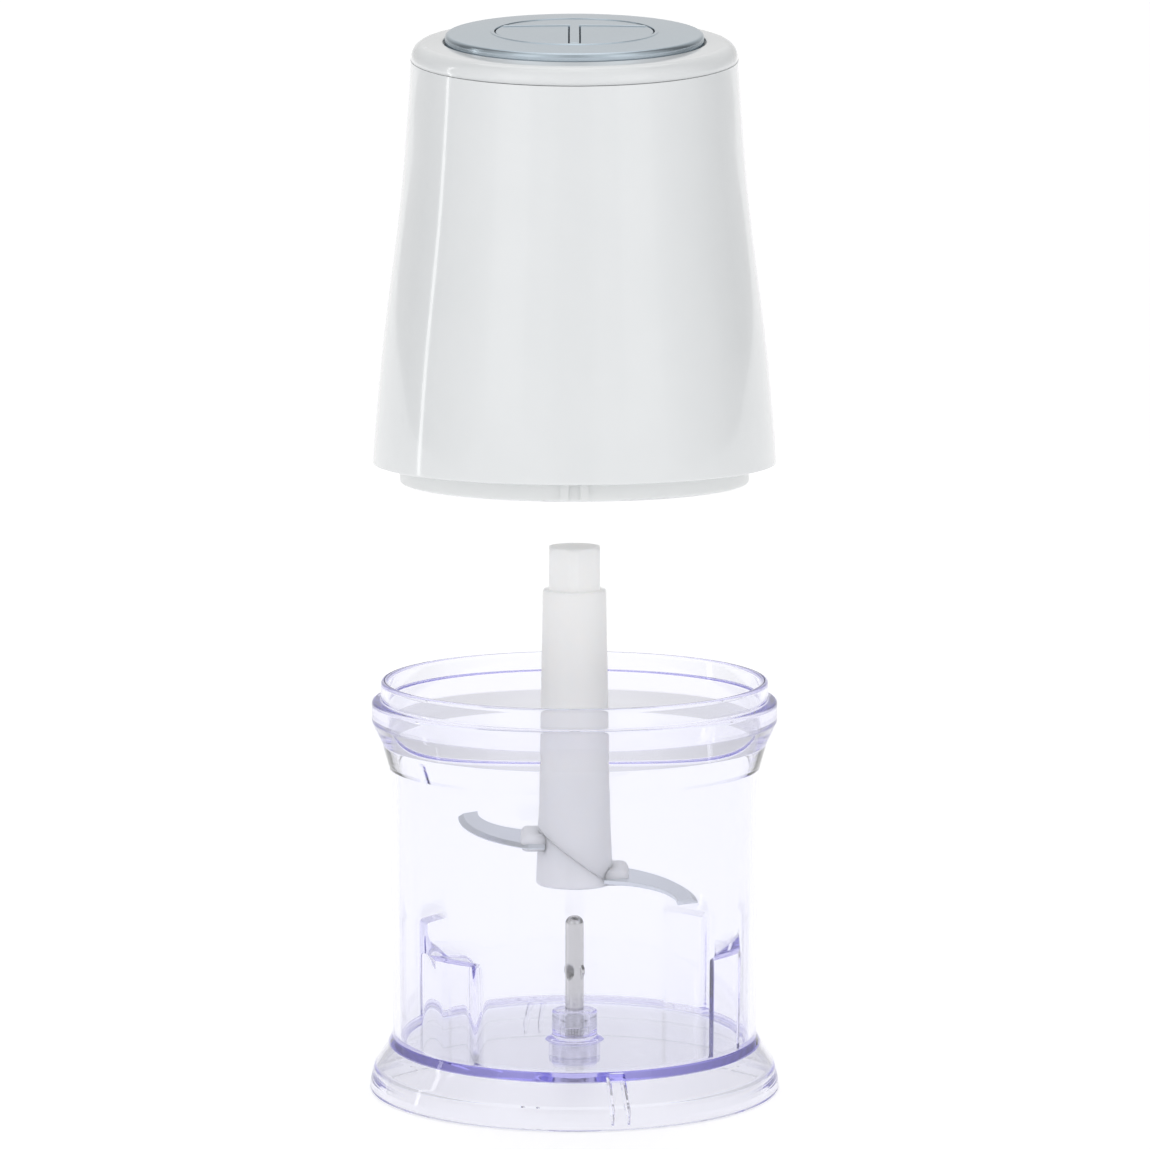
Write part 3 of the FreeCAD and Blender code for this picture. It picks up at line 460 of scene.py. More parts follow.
def moulded_group() -> bpy.types.NodeTree:
    """Moulded plastic: slow waviness of the skin, fine handling haze and a touch of dust."""
    tree = group_tree("moulded_skin", {
        "Wave": ("Float", 0.2), "Haze": ("Float", 0.04), "Base": ("Float", 0.2), "Grain": ("Float", 400.0)},
        {"Height": "Float", "Rough": "Float", "Tone": "Float"})
    entry, leave = tree.nodes["in"], tree.nodes["out"]
    place = tree.nodes.new("ShaderNodeTexCoord").outputs["Object"]
    wave = noise(tree, place, 22.0, 1.0)
    grain = noise(tree, place, entry.outputs["Grain"], 4.0)
    smear = noise(tree, place, 60.0, 5.0, 0.6)
    slow = maths(tree, "MULTIPLY", wave, entry.outputs["Wave"])
    wire(tree, maths(tree, "ADD", slow, maths(tree, "MULTIPLY", grain, 0.06)), leave.inputs["Height"])
    rough = maths(tree, "ADD", entry.outputs["Base"], maths(tree, "MULTIPLY", smear, entry.outputs["Haze"]))
    wire(tree, rough, leave.inputs["Rough"])
    wire(tree, smear, leave.inputs["Tone"])
    return tree


def brushed_group() -> bpy.types.NodeTree:
    """Brushed steel: noise stretched along X, so that the streaks lie along one direction."""
    tree = group_tree("brushed_streaks", {
        "Base": ("Float", 0.25), "Streak": ("Float", 0.2), "Fine": ("Float", 900.0)},
        {"Height": "Float", "Rough": "Float", "Tone": "Float"})
    entry, leave = tree.nodes["in"], tree.nodes["out"]
    place = tree.nodes.new("ShaderNodeTexCoord").outputs["Object"]
    stretch = tree.nodes.new("ShaderNodeMapping")
    stretch.inputs["Scale"].default_value = (0.02, 1.0, 1.0)
    wire(tree, place, stretch.inputs["Vector"])
    fine = noise(tree, stretch.outputs[0], entry.outputs["Fine"], 4.0, 0.6)
    broad = noise(tree, place, 45.0, 3.0)
    wire(tree, fine, leave.inputs["Height"])
    rough = maths(tree, "ADD", entry.outputs["Base"], maths(tree, "MULTIPLY", fine, entry.outputs["Streak"]))
    wire(tree, maths(tree, "ADD", rough, maths(tree, "MULTIPLY", broad, 0.05)), leave.inputs["Rough"])
    wire(tree, maths(tree, "ADD", maths(tree, "MULTIPLY", fine, 0.6), maths(tree, "MULTIPLY", broad, 0.4)),
         leave.inputs["Tone"])
    return tree


def wear_and_shade_group() -> bpy.types.NodeTree:
    """Edge wear, 1 on convex edges, from the pointiness; and painted shade in hollows, from a piece's own
    attribute.
    """
    tree = group_tree("edge_wear_and_hollow_shade", {"Reach": ("Float", 0.5)}, {"Mask": "Float", "Hollow": "Float"})
    entry, leave = tree.nodes["in"], tree.nodes["out"]
    place = tree.nodes.new("ShaderNodeTexCoord").outputs["Object"]
    sharp = tree.nodes.new("ShaderNodeNewGeometry").outputs["Pointiness"]
    mask = maths(tree, "MULTIPLY", maths(tree, "SUBTRACT", sharp, 0.52), 9.0, clamp=True)
    broken = maths(tree, "MULTIPLY", mask, spread(tree, noise(tree, place, 320.0), 0.4, 1.0))
    wire(tree, maths(tree, "MULTIPLY", broken, entry.outputs["Reach"], clamp=True), leave.inputs["Mask"])
    # Painted shade: a piece's 'hollow' attribute, mottled by noise, gives the mask that darkens its hollows.
    depth = tree.nodes.new("ShaderNodeAttribute")
    depth.attribute_name = "hollow"
    mottled_shade = spread(tree, noise(tree, place, 900.0), 0.6, 1.0)
    wire(tree, maths(tree, "MULTIPLY", depth.outputs["Fac"], mottled_shade), leave.inputs["Hollow"])
    return tree


class Shared(Enum):
    """Groups that several finishes use, by the function that builds each."""

    MOULDED = "moulded_skin"
    BRUSHED = "brushed_streaks"
    WEAR_AND_SHADE = "edge_wear_and_hollow_shade"

    def tree(self) -> bpy.types.NodeTree:
        """The group, built on first use."""
        builders = {Shared.MOULDED: moulded_group, Shared.BRUSHED: brushed_group, Shared.WEAR_AND_SHADE: wear_and_shade_group}
        return bpy.data.node_groups.get(self.value) or builders[self]()


class Material:
    """One material under construction, round a Principled shader."""

    def __init__(self, name: str) -> None:
        """Starts the material with its own Principled shader."""
        self.data = bpy.data.materials.new(name)
        self.data.use_nodes = True
        self.tree = self.data.node_tree
        self.shader = self.tree.nodes["Principled BSDF"]
        self.out = self.tree.nodes["Material Output"]

    def put(self, **values: object) -> "Material":
        """Sets the shader's own sockets; an underscore in a name stands for a space."""
        for label, value in values.items():
            self.shader.inputs[label.replace("_", " ")].default_value = value
        return self

    def group(self, which: Shared, **values: float) -> bpy.types.Node:
        """Places a shared group with its own values."""
        node = self.tree.nodes.new("ShaderNodeGroup")
        node.node_tree = which.tree()
        for label, value in values.items():
            node.inputs[label].default_value = value
        return node

    def feed(self, source: bpy.types.NodeSocket, label: str) -> None:
        """Links a socket to one of the shader's inputs."""
        wire(self.tree, source, self.shader.inputs[label])

    def bump(self, height: bpy.types.NodeSocket, distance: float, strength: float = 1.0) -> None:
        """Adds a bump of a height in millimetres."""
        node = self.tree.nodes.new("ShaderNodeBump")
        node.inputs["Distance"].default_value = distance * MM
        node.inputs["Strength"].default_value = strength
        wire(self.tree, height, node.inputs["Height"])
        self.feed(node.outputs["Normal"], "Normal")

    def tint(self, factor: bpy.types.NodeSocket, dark: Rgb, light: Rgb) -> bpy.types.NodeSocket:
        """Mixes two colours by a factor and returns the result."""
        node = self.tree.nodes.new("ShaderNodeMix")
        node.data_type = "RGBA"
        wire(self.tree, factor, node.inputs[0])
        node.inputs[6].default_value = (*dark, 1.0)
        node.inputs[7].default_value = (*light, 1.0)
        return node.outputs[2]


@dataclass(frozen=True)
class Plastic:
    """Moulded opaque plastic.

    Args:
        name: name of the material.
        dark: colour in its deeper tone.
        light: colour in its lighter tone.
        rough: base roughness.
        haze: how much handling changes the roughness.
        wave: height of the skin's slow waviness, in millimetres.
        grain: scale of its fine grain.
        coat: weight of a clear, glossy skin.
        milky: share of light that goes into the plastic and comes out near by.
    """

    name: str
    dark: Rgb
    light: Rgb
    rough: float = 0.3
    haze: float = 0.08
    wave: float = 0.01
    grain: float = 500.0
    coat: float = 0.0
    milky: float = 0.0

    def build(self) -> bpy.types.Material:
        """Makes the material."""
        made = Material(self.name)
        skin = made.group(Shared.MOULDED, Wave=1.0, Haze=self.haze, Base=self.rough, Grain=self.grain)
        made.feed(made.tint(skin.outputs["Tone"], self.dark, self.light), "Base Color")
        made.feed(skin.outputs["Rough"], "Roughness")
        made.bump(skin.outputs["Height"], self.wave)
        made.put(IOR=1.5, Coat_Weight=self.coat, Coat_Roughness=0.03)
        if self.milky > 0:
            made.put(Subsurface_Weight=self.milky, Subsurface_Scale=0.007, Subsurface_Radius=(1.0, 0.95, 0.9))
        return made.data


@dataclass(frozen=True)
class Steel:
    """Metal with streaks, worn edges and painted shade in the hollows that a piece's attribute marks.

    Args:
        name: name of the material.
        dark: colour in the streaks.
        light: colour between them.
        rough: base roughness.
        streak: how much the streaks change the roughness.
        fine: scale across the streaks.
        relief: height of the streaks, in millimetres.
    """

    name: str
    dark: Rgb
    light: Rgb
    rough: float = 0.22
    streak: float = 0.15
    fine: float = 1100.0
    relief: float = 0.004

    def build(self) -> bpy.types.Material:
        """Makes the material."""
        made = Material(self.name)
        streaks = made.group(Shared.BRUSHED, Base=self.rough, Streak=self.streak, Fine=self.fine)
        worn = made.group(Shared.WEAR_AND_SHADE, Reach=0.5)
        plain = made.tint(streaks.outputs["Tone"], self.dark, self.light)
        lighter = made.tree.nodes.new("ShaderNodeMix")
        lighter.data_type = "RGBA"
        wire(made.tree, worn.outputs["Mask"], lighter.inputs[0])
        wire(made.tree, plain, lighter.inputs[6])
        lighter.inputs[7].default_value = (*(min(1.0, c * 1.25) for c in self.light), 1.0)
        # Painted shade: where a piece's 'hollow' attribute marks a hollow, the colour is mixed towards 0.28
        # of the dark colour.
        deeper = made.tree.nodes.new("ShaderNodeMix")
        deeper.data_type = "RGBA"
        wire(made.tree, worn.outputs["Hollow"], deeper.inputs[0])
        wire(made.tree, lighter.outputs[2], deeper.inputs[6])
        deeper.inputs[7].default_value = (*(c * 0.28 for c in self.dark), 1.0)
        made.feed(deeper.outputs[2], "Base Color")
        made.feed(streaks.outputs["Rough"], "Roughness")
        made.bump(streaks.outputs["Height"], self.relief)
        made.put(Metallic=1.0)
        return made.data


@dataclass(frozen=True)
class ClearPlastic:
    """Clear polished plastic, tinted in its depth.

    Args:
        name: name of the material.
        tint: colour of white light after a long way through it.
        density: how soon the tint shows, per metre.
        shade: how much light its shadow lets through.
    """

    name: str
    tint: Rgb = (0.60, 0.56, 0.97)
    density: float = 20.0
    shade: Rgb = (0.985, 0.98, 0.995)

    def build(self) -> bpy.types.Material:
        """Makes the material: refracting shader and depth tint, with light shadows."""
        made = Material(self.name)
        skin = made.group(Shared.MOULDED, Wave=1.0, Haze=0.012, Base=0.0, Grain=260.0)
        made.put(Base_Color=(0.945, 0.949, 0.974, 1), Transmission_Weight=1.0, IOR=1.52)
        made.feed(skin.outputs["Rough"], "Roughness")
        made.bump(skin.outputs["Height"], 0.012)
        tree = made.tree
        depth = tree.nodes.new("ShaderNodeVolumeAbsorption")
        depth.inputs["Color"].default_value = (*self.tint, 1.0)
        depth.inputs["Density"].default_value = self.density
        wire(tree, depth.outputs[0], made.out.inputs["Volume"])
        through = tree.nodes.new("ShaderNodeBsdfTransparent")
        through.inputs["Color"].default_value = (*self.shade, 1.0)
        path = tree.nodes.new("ShaderNodeLightPath")
        mix = tree.nodes.new("ShaderNodeMixShader")
        wire(tree, path.outputs["Is Shadow Ray"], mix.inputs[0])
        wire(tree, made.shader.outputs[0], mix.inputs[1])
        wire(tree, through.outputs[0], mix.inputs[2])
        wire(tree, mix.outputs[0], made.out.inputs["Surface"])
        return made.data


CLEAR = ClearPlastic("clear_violet_plastic")
WHITE_GLOSS = Plastic("white_gloss", (0.77, 0.79, 0.80), (0.81, 0.825, 0.835), rough=0.10, haze=0.04,
                      wave=0.004, grain=700.0, coat=0.6)
WHITE_SATIN = Plastic("white_satin", (0.80, 0.82, 0.82), (0.85, 0.86, 0.86), rough=0.28, haze=0.06,
                      wave=0.006)
MILKY = Plastic("milky_plastic", (0.965, 0.968, 0.97), (0.985, 0.985, 0.985), rough=0.32, haze=0.10,
                wave=0.01, milky=0.8)
BLACK = Plastic("black_plastic", (0.018, 0.018, 0.02), (0.035, 0.035, 0.04), rough=0.42, wave=0.02,
                grain=900.0)
ACETAL = Plastic("acetal", (0.76, 0.75, 0.71), (0.82, 0.81, 0.77), rough=0.30, wave=0.006)
GREY_RUBBER = Plastic("grey_rubber", (0.50, 0.51, 0.52), (0.58, 0.59, 0.60), rough=0.62, haze=0.12,
                      wave=0.02, grain=1300.0)
BLACK_RUBBER = Plastic("black_rubber", (0.02, 0.02, 0.02), (0.04, 0.04, 0.04), rough=0.7, haze=0.1,
                       wave=0.02, grain=1300.0)
BOARD = Plastic("circuit_board", (0.02, 0.16, 0.07), (0.04, 0.24, 0.11), rough=0.32, wave=0.01,
                grain=240.0, coat=0.3)
YELLOW_BOX = Plastic("capacitor_box", (0.70, 0.50, 0.05), (0.80, 0.60, 0.08), rough=0.3, wave=0.01)
CARBON = Plastic("carbon", (0.02, 0.02, 0.022), (0.05, 0.05, 0.055), rough=0.5, wave=0.02, grain=2000.0)
TOP_STEEL = Steel("top_steel", (0.40, 0.47, 0.53), (0.52, 0.59, 0.64), rough=0.15, streak=0.10,
                  fine=900.0, relief=0.003)
BLADE_STEEL = Steel("blade_steel", (0.66, 0.69, 0.73), (0.78, 0.81, 0.85), rough=0.24, streak=0.16,
                    fine=1300.0)
PIN_STEEL = Steel("pin_steel", (0.52, 0.515, 0.50), (0.70, 0.695, 0.68), rough=0.07, streak=0.12,
                  fine=1500.0)
SCREW_STEEL = Steel("screw_steel", (0.42, 0.43, 0.44), (0.58, 0.59, 0.60), rough=0.30)
GEAR_STEEL = Steel("gear_steel", (0.30, 0.30, 0.31), (0.44, 0.44, 0.45), rough=0.34)
LAMINATION = Steel("lamination", (0.12, 0.12, 0.13), (0.26, 0.26, 0.27), rough=0.45, fine=2400.0,
                   relief=0.02)
ALUMINIUM = Steel("cast_aluminium", (0.52, 0.53, 0.54), (0.64, 0.65, 0.66), rough=0.42, relief=0.01)
COPPER = Steel("winding_copper", (0.45, 0.17, 0.06), (0.72, 0.32, 0.14), rough=0.28, fine=2600.0,
               relief=0.03)
BRONZE = Steel("sintered_bronze", (0.40, 0.28, 0.12), (0.55, 0.40, 0.20), rough=0.45, relief=0.01)


class Wardrobe:
    """Builds each finish once and hands it out."""

    def __init__(self) -> None:
        """Starts with nothing built."""
        self.built: dict[str, bpy.types.Material] = {}

    def dress(self, obj: bpy.types.Object, finish: Plastic | Steel | ClearPlastic) -> bpy.types.Object:
        """Gives a piece its only material."""
        if finish.name not in self.built:
            self.built[finish.name] = finish.build()
        obj.data.materials.clear()
        obj.data.materials.append(self.built[finish.name])
        return obj


WARDROBE = Wardrobe()


def attach(obj: bpy.types.Object, body: Body, finish: Plastic | Steel | ClearPlastic, slot: str,
           *nodes: str) -> bpy.types.Object:
    """Dresses a finished piece and hands it to its body.

    Args:
        obj: the piece, at the origin.
        body: the CAD body it rides on.
        finish: its finish.
        slot: the material slot that it shows; not used.
        nodes: the CAD nodes it stands for.

    Returns:
        The same piece.
    """
    WARDROBE.dress(obj, finish)
    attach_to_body(obj, body.value)
    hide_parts(*nodes)
    return obj


# ---------------------------------------------------------------------------------------
# Bowl and pin
# ---------------------------------------------------------------------------------------
@dataclass
class Bowl:
    """Clear bowl with its flared foot, collar, rim, wall pads and pin boss.

    Args:
        corners: outline from the axis underneath, round the foot, wall and rim, to the bore.
        pads: (start, sweep, width of its side slopes) of each thickened wall pad, in degrees.
        ribs: (start, sweep) of each collar rib.
        gussets: middle angle of each thin gusset under the floor.
        notch: first and last angle of the small moulding notch in front.
    """

    corners: tuple[Corner, ...] = (
        Corner(0, 5.3), Corner(7.3, 5.3, .6), Corner(7.3, 11.8, 1), Corner(50.4, 11.8, .5),
        Corner(51.5, 10.2, 1), Corner(55.4, 5, 3), Corner(55.9, 0, .5), Corner(58.1, 0, .5),
        Corner(57.8, 2.8, 1), Corner(56.6, 7, 4), Corner(53.5, 11.8, 3), Corner(51.5, 15.2, .8),
        Corner(52.3, 92.2, 2), Corner(54.3, 99.2, 2), Corner(57.1, 105.2, 1.2), Corner(57.1, 110.9, 1),
        Corner(54.5, 110.9, .4), Corner(54.5, 116.5, .9), Corner(52.4, 116.5, .9), Corner(52.4, 99.2, 1),
        Corner(50.1, 92.2, 1), Corner(49.3, 14, 2), Corner(6.4, 14, 1.4), Corner(6.4, 22, .6),
        Corner(2.85, 22), Corner(2.85, 17.4), Corner(2.65, 17.2), Corner(2.65, 13.5), Corner(0, 13.5))
    pads: tuple[tuple[float, float, float], ...] = (
        (-40, 15, 0.35), (38, 19, 4.0), (140, 15, 4.0), (218, 19, 9.0))
    ribs: tuple[tuple[float, float], ...] = ((-144.5, 3), (35.5, 3))
    gussets: tuple[float, ...] = (-79.3, -74.7, 100.7, 105.3)
    notch: tuple[float, float] = (-79.3, -74.7)

    def outline(self) -> Array:
        """The plain section, with points where pads, ribs and notch begin and end."""
        inner = [(48, 52.3, z) for z in (42.4, 44.0, 89.9, 92.4, 97.2, 97.9)]
        outer = [(51, 54, z) for z in (12.38, 12.44, 14.56, 14.62)]
        return refine(trace(self.corners, steps=5, closed=False), 7.0, inner + outer)

    def build(self) -> bpy.types.Object:
        """Turns the section and works the pads, ribs, gussets and notch into it."""
        line = self.outline()
        edges = [edge for a, b, slope in self.pads if slope < 1 for edge in (a, a + b)]
        edges += [middle + side for middle in self.gussets for side in (-0.5, 0.5)] + list(self.notch)
        angles = ring_angles(440, edges)
        r = np.tile(line[:, 0], (len(angles), 1))
        z = np.tile(line[:, 1], (len(angles), 1))
        order = np.arange(len(line))
        inside = order > int(np.argmax(line[:, 1]))
        low_point = int(np.argmax(line[:, 1] < 0.01))
        pad_r = np.interp(z, [13.6, 42.4, 44.0], [47.7, 47.9, 49.7])
        on_pad = inside & (line[:, 1] > 13.9) & (line[:, 1] < 44.05) & (line[:, 0] > 40)
        for start, sweep, slope in self.pads:
            share = window(angles, start, start + sweep, slope)[:, None]
            share = share ** 2 * (3 - 2 * share) * on_pad
            r = r + share * (np.minimum(r, pad_r) - r)
        rib_r = np.interp(z, [89.9, 92.4, 97.2, 97.9], [50.1, 49.9, 51.55, 52.0])
        on_rib = inside & (line[:, 1] > 89.8) & (line[:, 1] < 98.0)
        for start, sweep in self.ribs:
            share = window(angles, start, start + sweep, 2.8)[:, None]
            share = share ** 2 * (3 - 2 * share) * on_rib
            r = r + share * (np.minimum(r, rib_r) - r)
        r, z = self.with_gussets(angles, line, r, z, low_point)
        in_notch = ~inside & (order > low_point) & (line[:, 1] > 12.4) & (line[:, 1] < 14.6)
        share = window(angles, *self.notch)[:, None] * in_notch
        r = r + share * (50.9 - r)
        surface = Surface()
        surface.lathe(r, z, angles, closed=False)
        return attach(surface.mesh("bowl_shell", sharp=40), Body.BOWL, CLEAR, "clear_plastic", "bowl")

    def with_gussets(self, angles: Array, line: Array, r: Array, z: Array,
                     low_point: int) -> tuple[Array, Array]:
        """Bends the underside onto the gussets' sloping edge within their angles.

        Args:
            angles: angles of the surface.
            line: the plain section.
            r: radii to change.
            z: heights to change.
            low_point: index of the section's first point on the table.

        Returns:
            The new radii and heights.
        """
        under = (np.arange(len(line)) < low_point) & (line[:, 0] > 46) & (line[:, 1] > 1.2)
        path = line[under]
        along = np.concatenate([[0.0], np.cumsum(np.hypot(*np.diff(path, axis=0).T))])
        along = along / along[-1]
        edge = np.array([(46.5, 11.8), (50.0, 8.4), (55.1, 1.2), (55.8, 1.2)])
        reach = np.concatenate([[0.0], np.cumsum(np.hypot(*np.diff(edge, axis=0).T))])
        reach = reach / reach[-1]
        r_to, z_to = np.interp(along, reach, edge[:, 0]), np.interp(along, reach, edge[:, 1])
        for middle in self.gussets:
            share = window(angles, middle - 0.5, middle + 0.5)[:, None]
            r[:, under] += share * (r_to - r[:, under])
            z[:, under] += share * (z_to - z[:, under])
        return r, z


@dataclass
class BowlPin:
    """Steel pin: domed end, two side ears, two pressed dimples and a fluted, moulded-in foot.

    Args:
        radius: radius of the free length.
        foot: height of its lower end, inside the boss.
        grip: height up to which the moulding grips its fluted foot.
        top: height of its domed end.
        dome: radius of that end's rounding.
        ear: height of the ears' middle.
        turn: direction of the ears about Z, in degrees.
    """

    radius: float = 2.65
    foot: float = 13.48
    grip: float = 17.3
    top: float = 49.0
    dome: float = 2.3
    ear: float = 33.2
    turn: float = -35.0

    def build(self) -> bpy.types.Object:
        """Turns the pin; ears and dimples are a cylinder and two balls worked into its radius."""
        flat = self.radius - self.dome
        turns = np.linspace(0, math.pi / 2, 9)
        dome = [Corner(flat + self.dome * math.cos(turn), self.top - self.dome * (1 - math.sin(turn)))
                for turn in turns]
        held = self.radius + 0.05
        corners = (Corner(0, self.foot), Corner(held, self.foot, .3), Corner(held, self.grip),
                   Corner(self.radius, self.grip + .05), *dome, Corner(0, self.top))
        line = refine(trace(corners, closed=False), 0.4)
        side = math.degrees(math.asin(0.65 / self.radius))
        ears = [edge + self.turn for edge in (side, -side, 180 - side, 180 + side)]
        angles = ring_angles(132, ears, ramp=2.0)
        r = np.tile(line[:, 0], (len(angles), 1))
        z = np.tile(line[:, 1], (len(angles), 1))
        facing = angles - math.radians(self.turn)
        sine, cosine = np.abs(np.sin(facing))[:, None], np.abs(np.cos(facing))[:, None]
        rise = z - self.ear
        share = np.clip((0.70 - self.radius * sine) / 0.1, 0, 1)
        ear_r = np.sqrt(np.maximum(0, 3.15 ** 2 - rise ** 2)) / np.maximum(cosine, 0.9)
        r = r + share * np.maximum(0, ear_r - r)
        reach = self.radius + 2.1
        inside = 9.0 - rise ** 2 - (reach * cosine) ** 2
        r = np.where(inside > 0, np.minimum(r, reach * sine - np.sqrt(np.maximum(0, inside))), r)
        fluted = (z < self.grip - 0.3) & (z > self.foot + 0.6)
        r = r - fluted * 0.16 * (1 - np.cos(angles * 22)[:, None])
        surface = Surface()
        surface.lathe(r, z, angles, closed=False)
        pin = surface.mesh("pin_turned", sharp=50)
        self.mark_painted_hollow_shade(pin)
        return attach(pin, Body.BOWL, PIN_STEEL, "pin_steel", "bowl_pin")

    def mark_painted_hollow_shade(self, pin: bpy.types.Object) -> None:
        """Stores how deep each point lies below the plain surface in the dimples and the fluted foot, as the
        mask of the finish's painted shade.
        """
        points = np.empty(len(pin.data.vertices) * 3)
        pin.data.vertices.foreach_get("co", points)
        points = points.reshape(-1, 3) / MM
        height = points[:, 2]
        depth = np.clip((self.radius - 0.04 - np.hypot(points[:, 0], points[:, 1])) / 0.35, 0, 1)
        dimpled = np.abs(height - self.ear) < 3
        fluted = (height < self.grip) & (height > self.foot + 0.3)
        # Painted shade: this attribute darkens the dimples and flutes in the steel finish.
        mark = pin.data.attributes.new("hollow", "FLOAT", "POINT")
        mark.data.foreach_set("value", (depth * (dimpled | fluted)).astype(np.float32))


# ---------------------------------------------------------------------------------------
# Blade unit
# ---------------------------------------------------------------------------------------
@dataclass
class Hub:
    """Tapered hub with its slanted foot seam, moulded shoulders and flattened drive end.

    Args:
        seam: height of the seam at the axis.
        slope: rise of the seam along X.
        gap: half the width of the groove at the seam.
        flat: half the distance across the drive end's flats.
        lean: tilt of the blade pair about X, in degrees.
        step: height of the step under the drive end.
        core: radius of the bore that holds the bush.
        bore_top: height of that bore's end.
        cavity: radius of the space over the bowl's boss.
        ceiling: height of that space's end.
    """

    seam: float = 8.5
    slope: float = -0.74
    gap: float = 0.03
    flat: float = 7.15
    lean: float = 5.0
    step: float = 83.8
    core: float = 4.65
    bore_top: float = 36.5
    cavity: float = 7.15
    ceiling: float = 9.7

    def seam_height(self, r: Array, angles: Array) -> Array:
        """Height of the slanted seam at a radius, all round."""
        return self.seam + self.slope * r * np.cos(angles)[:, None]

    def shoulder(self, height: float, side: int) -> tuple[Array, Array]:
        """Rounded block over a blade root: a rounded rectangle along X, drawn in at its end.

        Args:
            height: height of the blade's plane.
            side: 1 for the +X side, -1 for the other.

        Returns:
            Its points as a grid, and the middle of its end.
        """
        corners = (Corner(-6.4, -1.9, 1.0), Corner(7.0, -1.9, 1.0), Corner(7.0, 2.8, 2.0),
                   Corner(-6.4, 2.8, 2.0))
        section = refine(trace(corners, closed=True, hold=0.15), 1.5)
        middle = np.array([0.3, 0.45])
        half = np.array([6.7, 2.35])
        turn = np.linspace(0, math.pi / 2, 7)
        x = np.concatenate([[7.6, 9.5, 12.9], 13.3 + 2.0 * np.sin(turn)])
        inset = np.concatenate([[0, 0, 0], 2.0 * (1 - np.cos(turn))])
        scale = (half - inset[:, None]) / half
        flat = middle + (section - middle)[None] * scale[:, None, :]
        points = np.concatenate([np.broadcast_to(x[:, None, None], (*flat.shape[:2], 1)) * side, flat], 2)
        cap = np.array([x[-1] * side, *middle])
        tilt, lift = about_x(math.radians(self.lean)), np.array([0, 0, height])
        points, cap = points @ tilt.T + lift, cap @ tilt.T + lift
        if side > 0:
            points[..., 2] = np.maximum(points[..., 2], 0.4)
        return points, cap

    def add_shoulder(self, surface: Surface, height: float, side: int) -> None:
        """Adds one closed shoulder, its normals outward on either side."""
        points, cap = self.shoulder(height, side)
        rings = [points]
        rings.append(points[-1:] + (cap - points[-1:]) * 0.6)
        rings.append(np.broadcast_to(cap, points[-1:].shape))
        start = points[0].mean(0)
        rings.insert(0, np.broadcast_to(start, points[:1].shape))
        grid = np.concatenate(rings)
        if side > 0:
            grid = grid[:, ::-1]
        surface.grid(grid.transpose(1, 0, 2)[::-1], wrap_u=True)

    def build_body(self) -> bpy.types.Object:
        """The hub above the seam, with the +X shoulder."""
        flats = [60 * k + side for k in range(6) for side in (-21.8, 21.8)]
        angles = ring_angles(120, flats, ramp=0.8)
        column = np.ones((len(angles), 1))
        waist = 23.0
        corners = (Corner(10.9, 0), Corner(10.0, waist, 30), Corner(8.9, self.step, .6),
                   Corner(7.7, self.step), Corner(7.7, 96, 1.1), Corner(0, 96))
        outer = refine(trace(corners, closed=False), 2.0)
        keep = (outer[:, 1] > 0) | (outer[:, 0] < 1)
        outer = outer[keep]
        z = column * outer[:, 1]
        r = column * outer[:, 0]
        edge_r = 10.35
        low = self.seam_height(np.array([[edge_r]]), angles) + self.gap
        foot_rows = outer[:, 1] < waist
        lowest = outer[foot_rows, 1].min()
        share = (outer[foot_rows, 1] - lowest) / (waist - lowest)
        z[:, foot_rows] = low + 0.35 + share * (waist - low - 0.35)
        r[:, foot_rows] = np.interp(z[:, foot_rows], outer[foot_rows, 1], outer[foot_rows, 0])
        drive = outer[:, 1] > self.step + 0.1
        wedge = (np.degrees(angles) + 30) % 60 - 30
        limit = self.flat / np.cos(np.radians(wedge))
        r = np.where(drive, np.minimum(r, limit[:, None]), r)
        step = (np.abs(outer[:, 1] - self.step) < 0.01) & (outer[:, 0] < 8.0)
        r[:, step] = np.minimum(r[:, step], limit[:, None])
        lip = r[:, :1] - 0.3
        core, cavity, bore_top = self.core * column, self.cavity * column, self.bore_top * column
        inner_r = np.concatenate([0 * column, core, core, cavity, cavity, lip], 1)
        seam_core, seam_in, seam_out = (self.seam_height(radius, angles) + self.gap
                                        for radius in (core, cavity, lip))
        inner_z = np.concatenate([bore_top, bore_top, np.maximum(self.ceiling, seam_core),
                                  np.maximum(self.ceiling, seam_in), seam_in, seam_out], 1)
        surface = Surface()
        surface.lathe(np.concatenate([inner_r, r], 1), np.concatenate([inner_z, z], 1), angles, closed=False)
        self.add_shoulder(surface, 2.4, 1)
        surface.moved(in_hub)
        body = surface.mesh("hub_column", sharp=17)
        return attach(body, Body.BLADES, MILKY, "milky_plastic", "hub_body")

    def build_foot(self) -> bpy.types.Object:
        """The ring under the seam, with the other shoulder."""
        angles = ring_angles(120)
        column = np.ones((len(angles), 1))
        low = trace((Corner(7.2, 0, .3), Corner(10.9, 0, .8), Corner(10.85, 3.0), Corner(7.2, 3.0)))
        low = low[low[:, 1] < 2.5]
        side_r = np.array([10.82, 10.72, 10.55, 10.4, 10.3, 10.15])
        share = np.array([0.05, 0.25, 0.5, 0.75, 0.93, 1.0])
        top_z = self.seam_height(np.array([[10.35]]), angles) - self.gap
        r = np.concatenate([column * low[:, 0], column * side_r, 10.0 * column, 7.2 * column], 1)
        rise = np.maximum(top_z - 0.3 - 1.0, 0.0)
        z = np.concatenate([column * low[:, 1], 1.0 + rise * share, 0 * column, 0 * column], 1)
        ceiling = self.seam_height(r, angles) - self.gap
        z[:, -2:] = ceiling[:, -2:]
        z = np.minimum(z, ceiling)
        surface = Surface()
        surface.lathe(r, z, angles)
        self.add_shoulder(surface, 12.4, -1)
        surface.moved(in_hub)
        foot = surface.mesh("hub_foot_ring", sharp=25)
        return attach(foot, Body.BLADES, MILKY, "milky_plastic", "hub_foot")


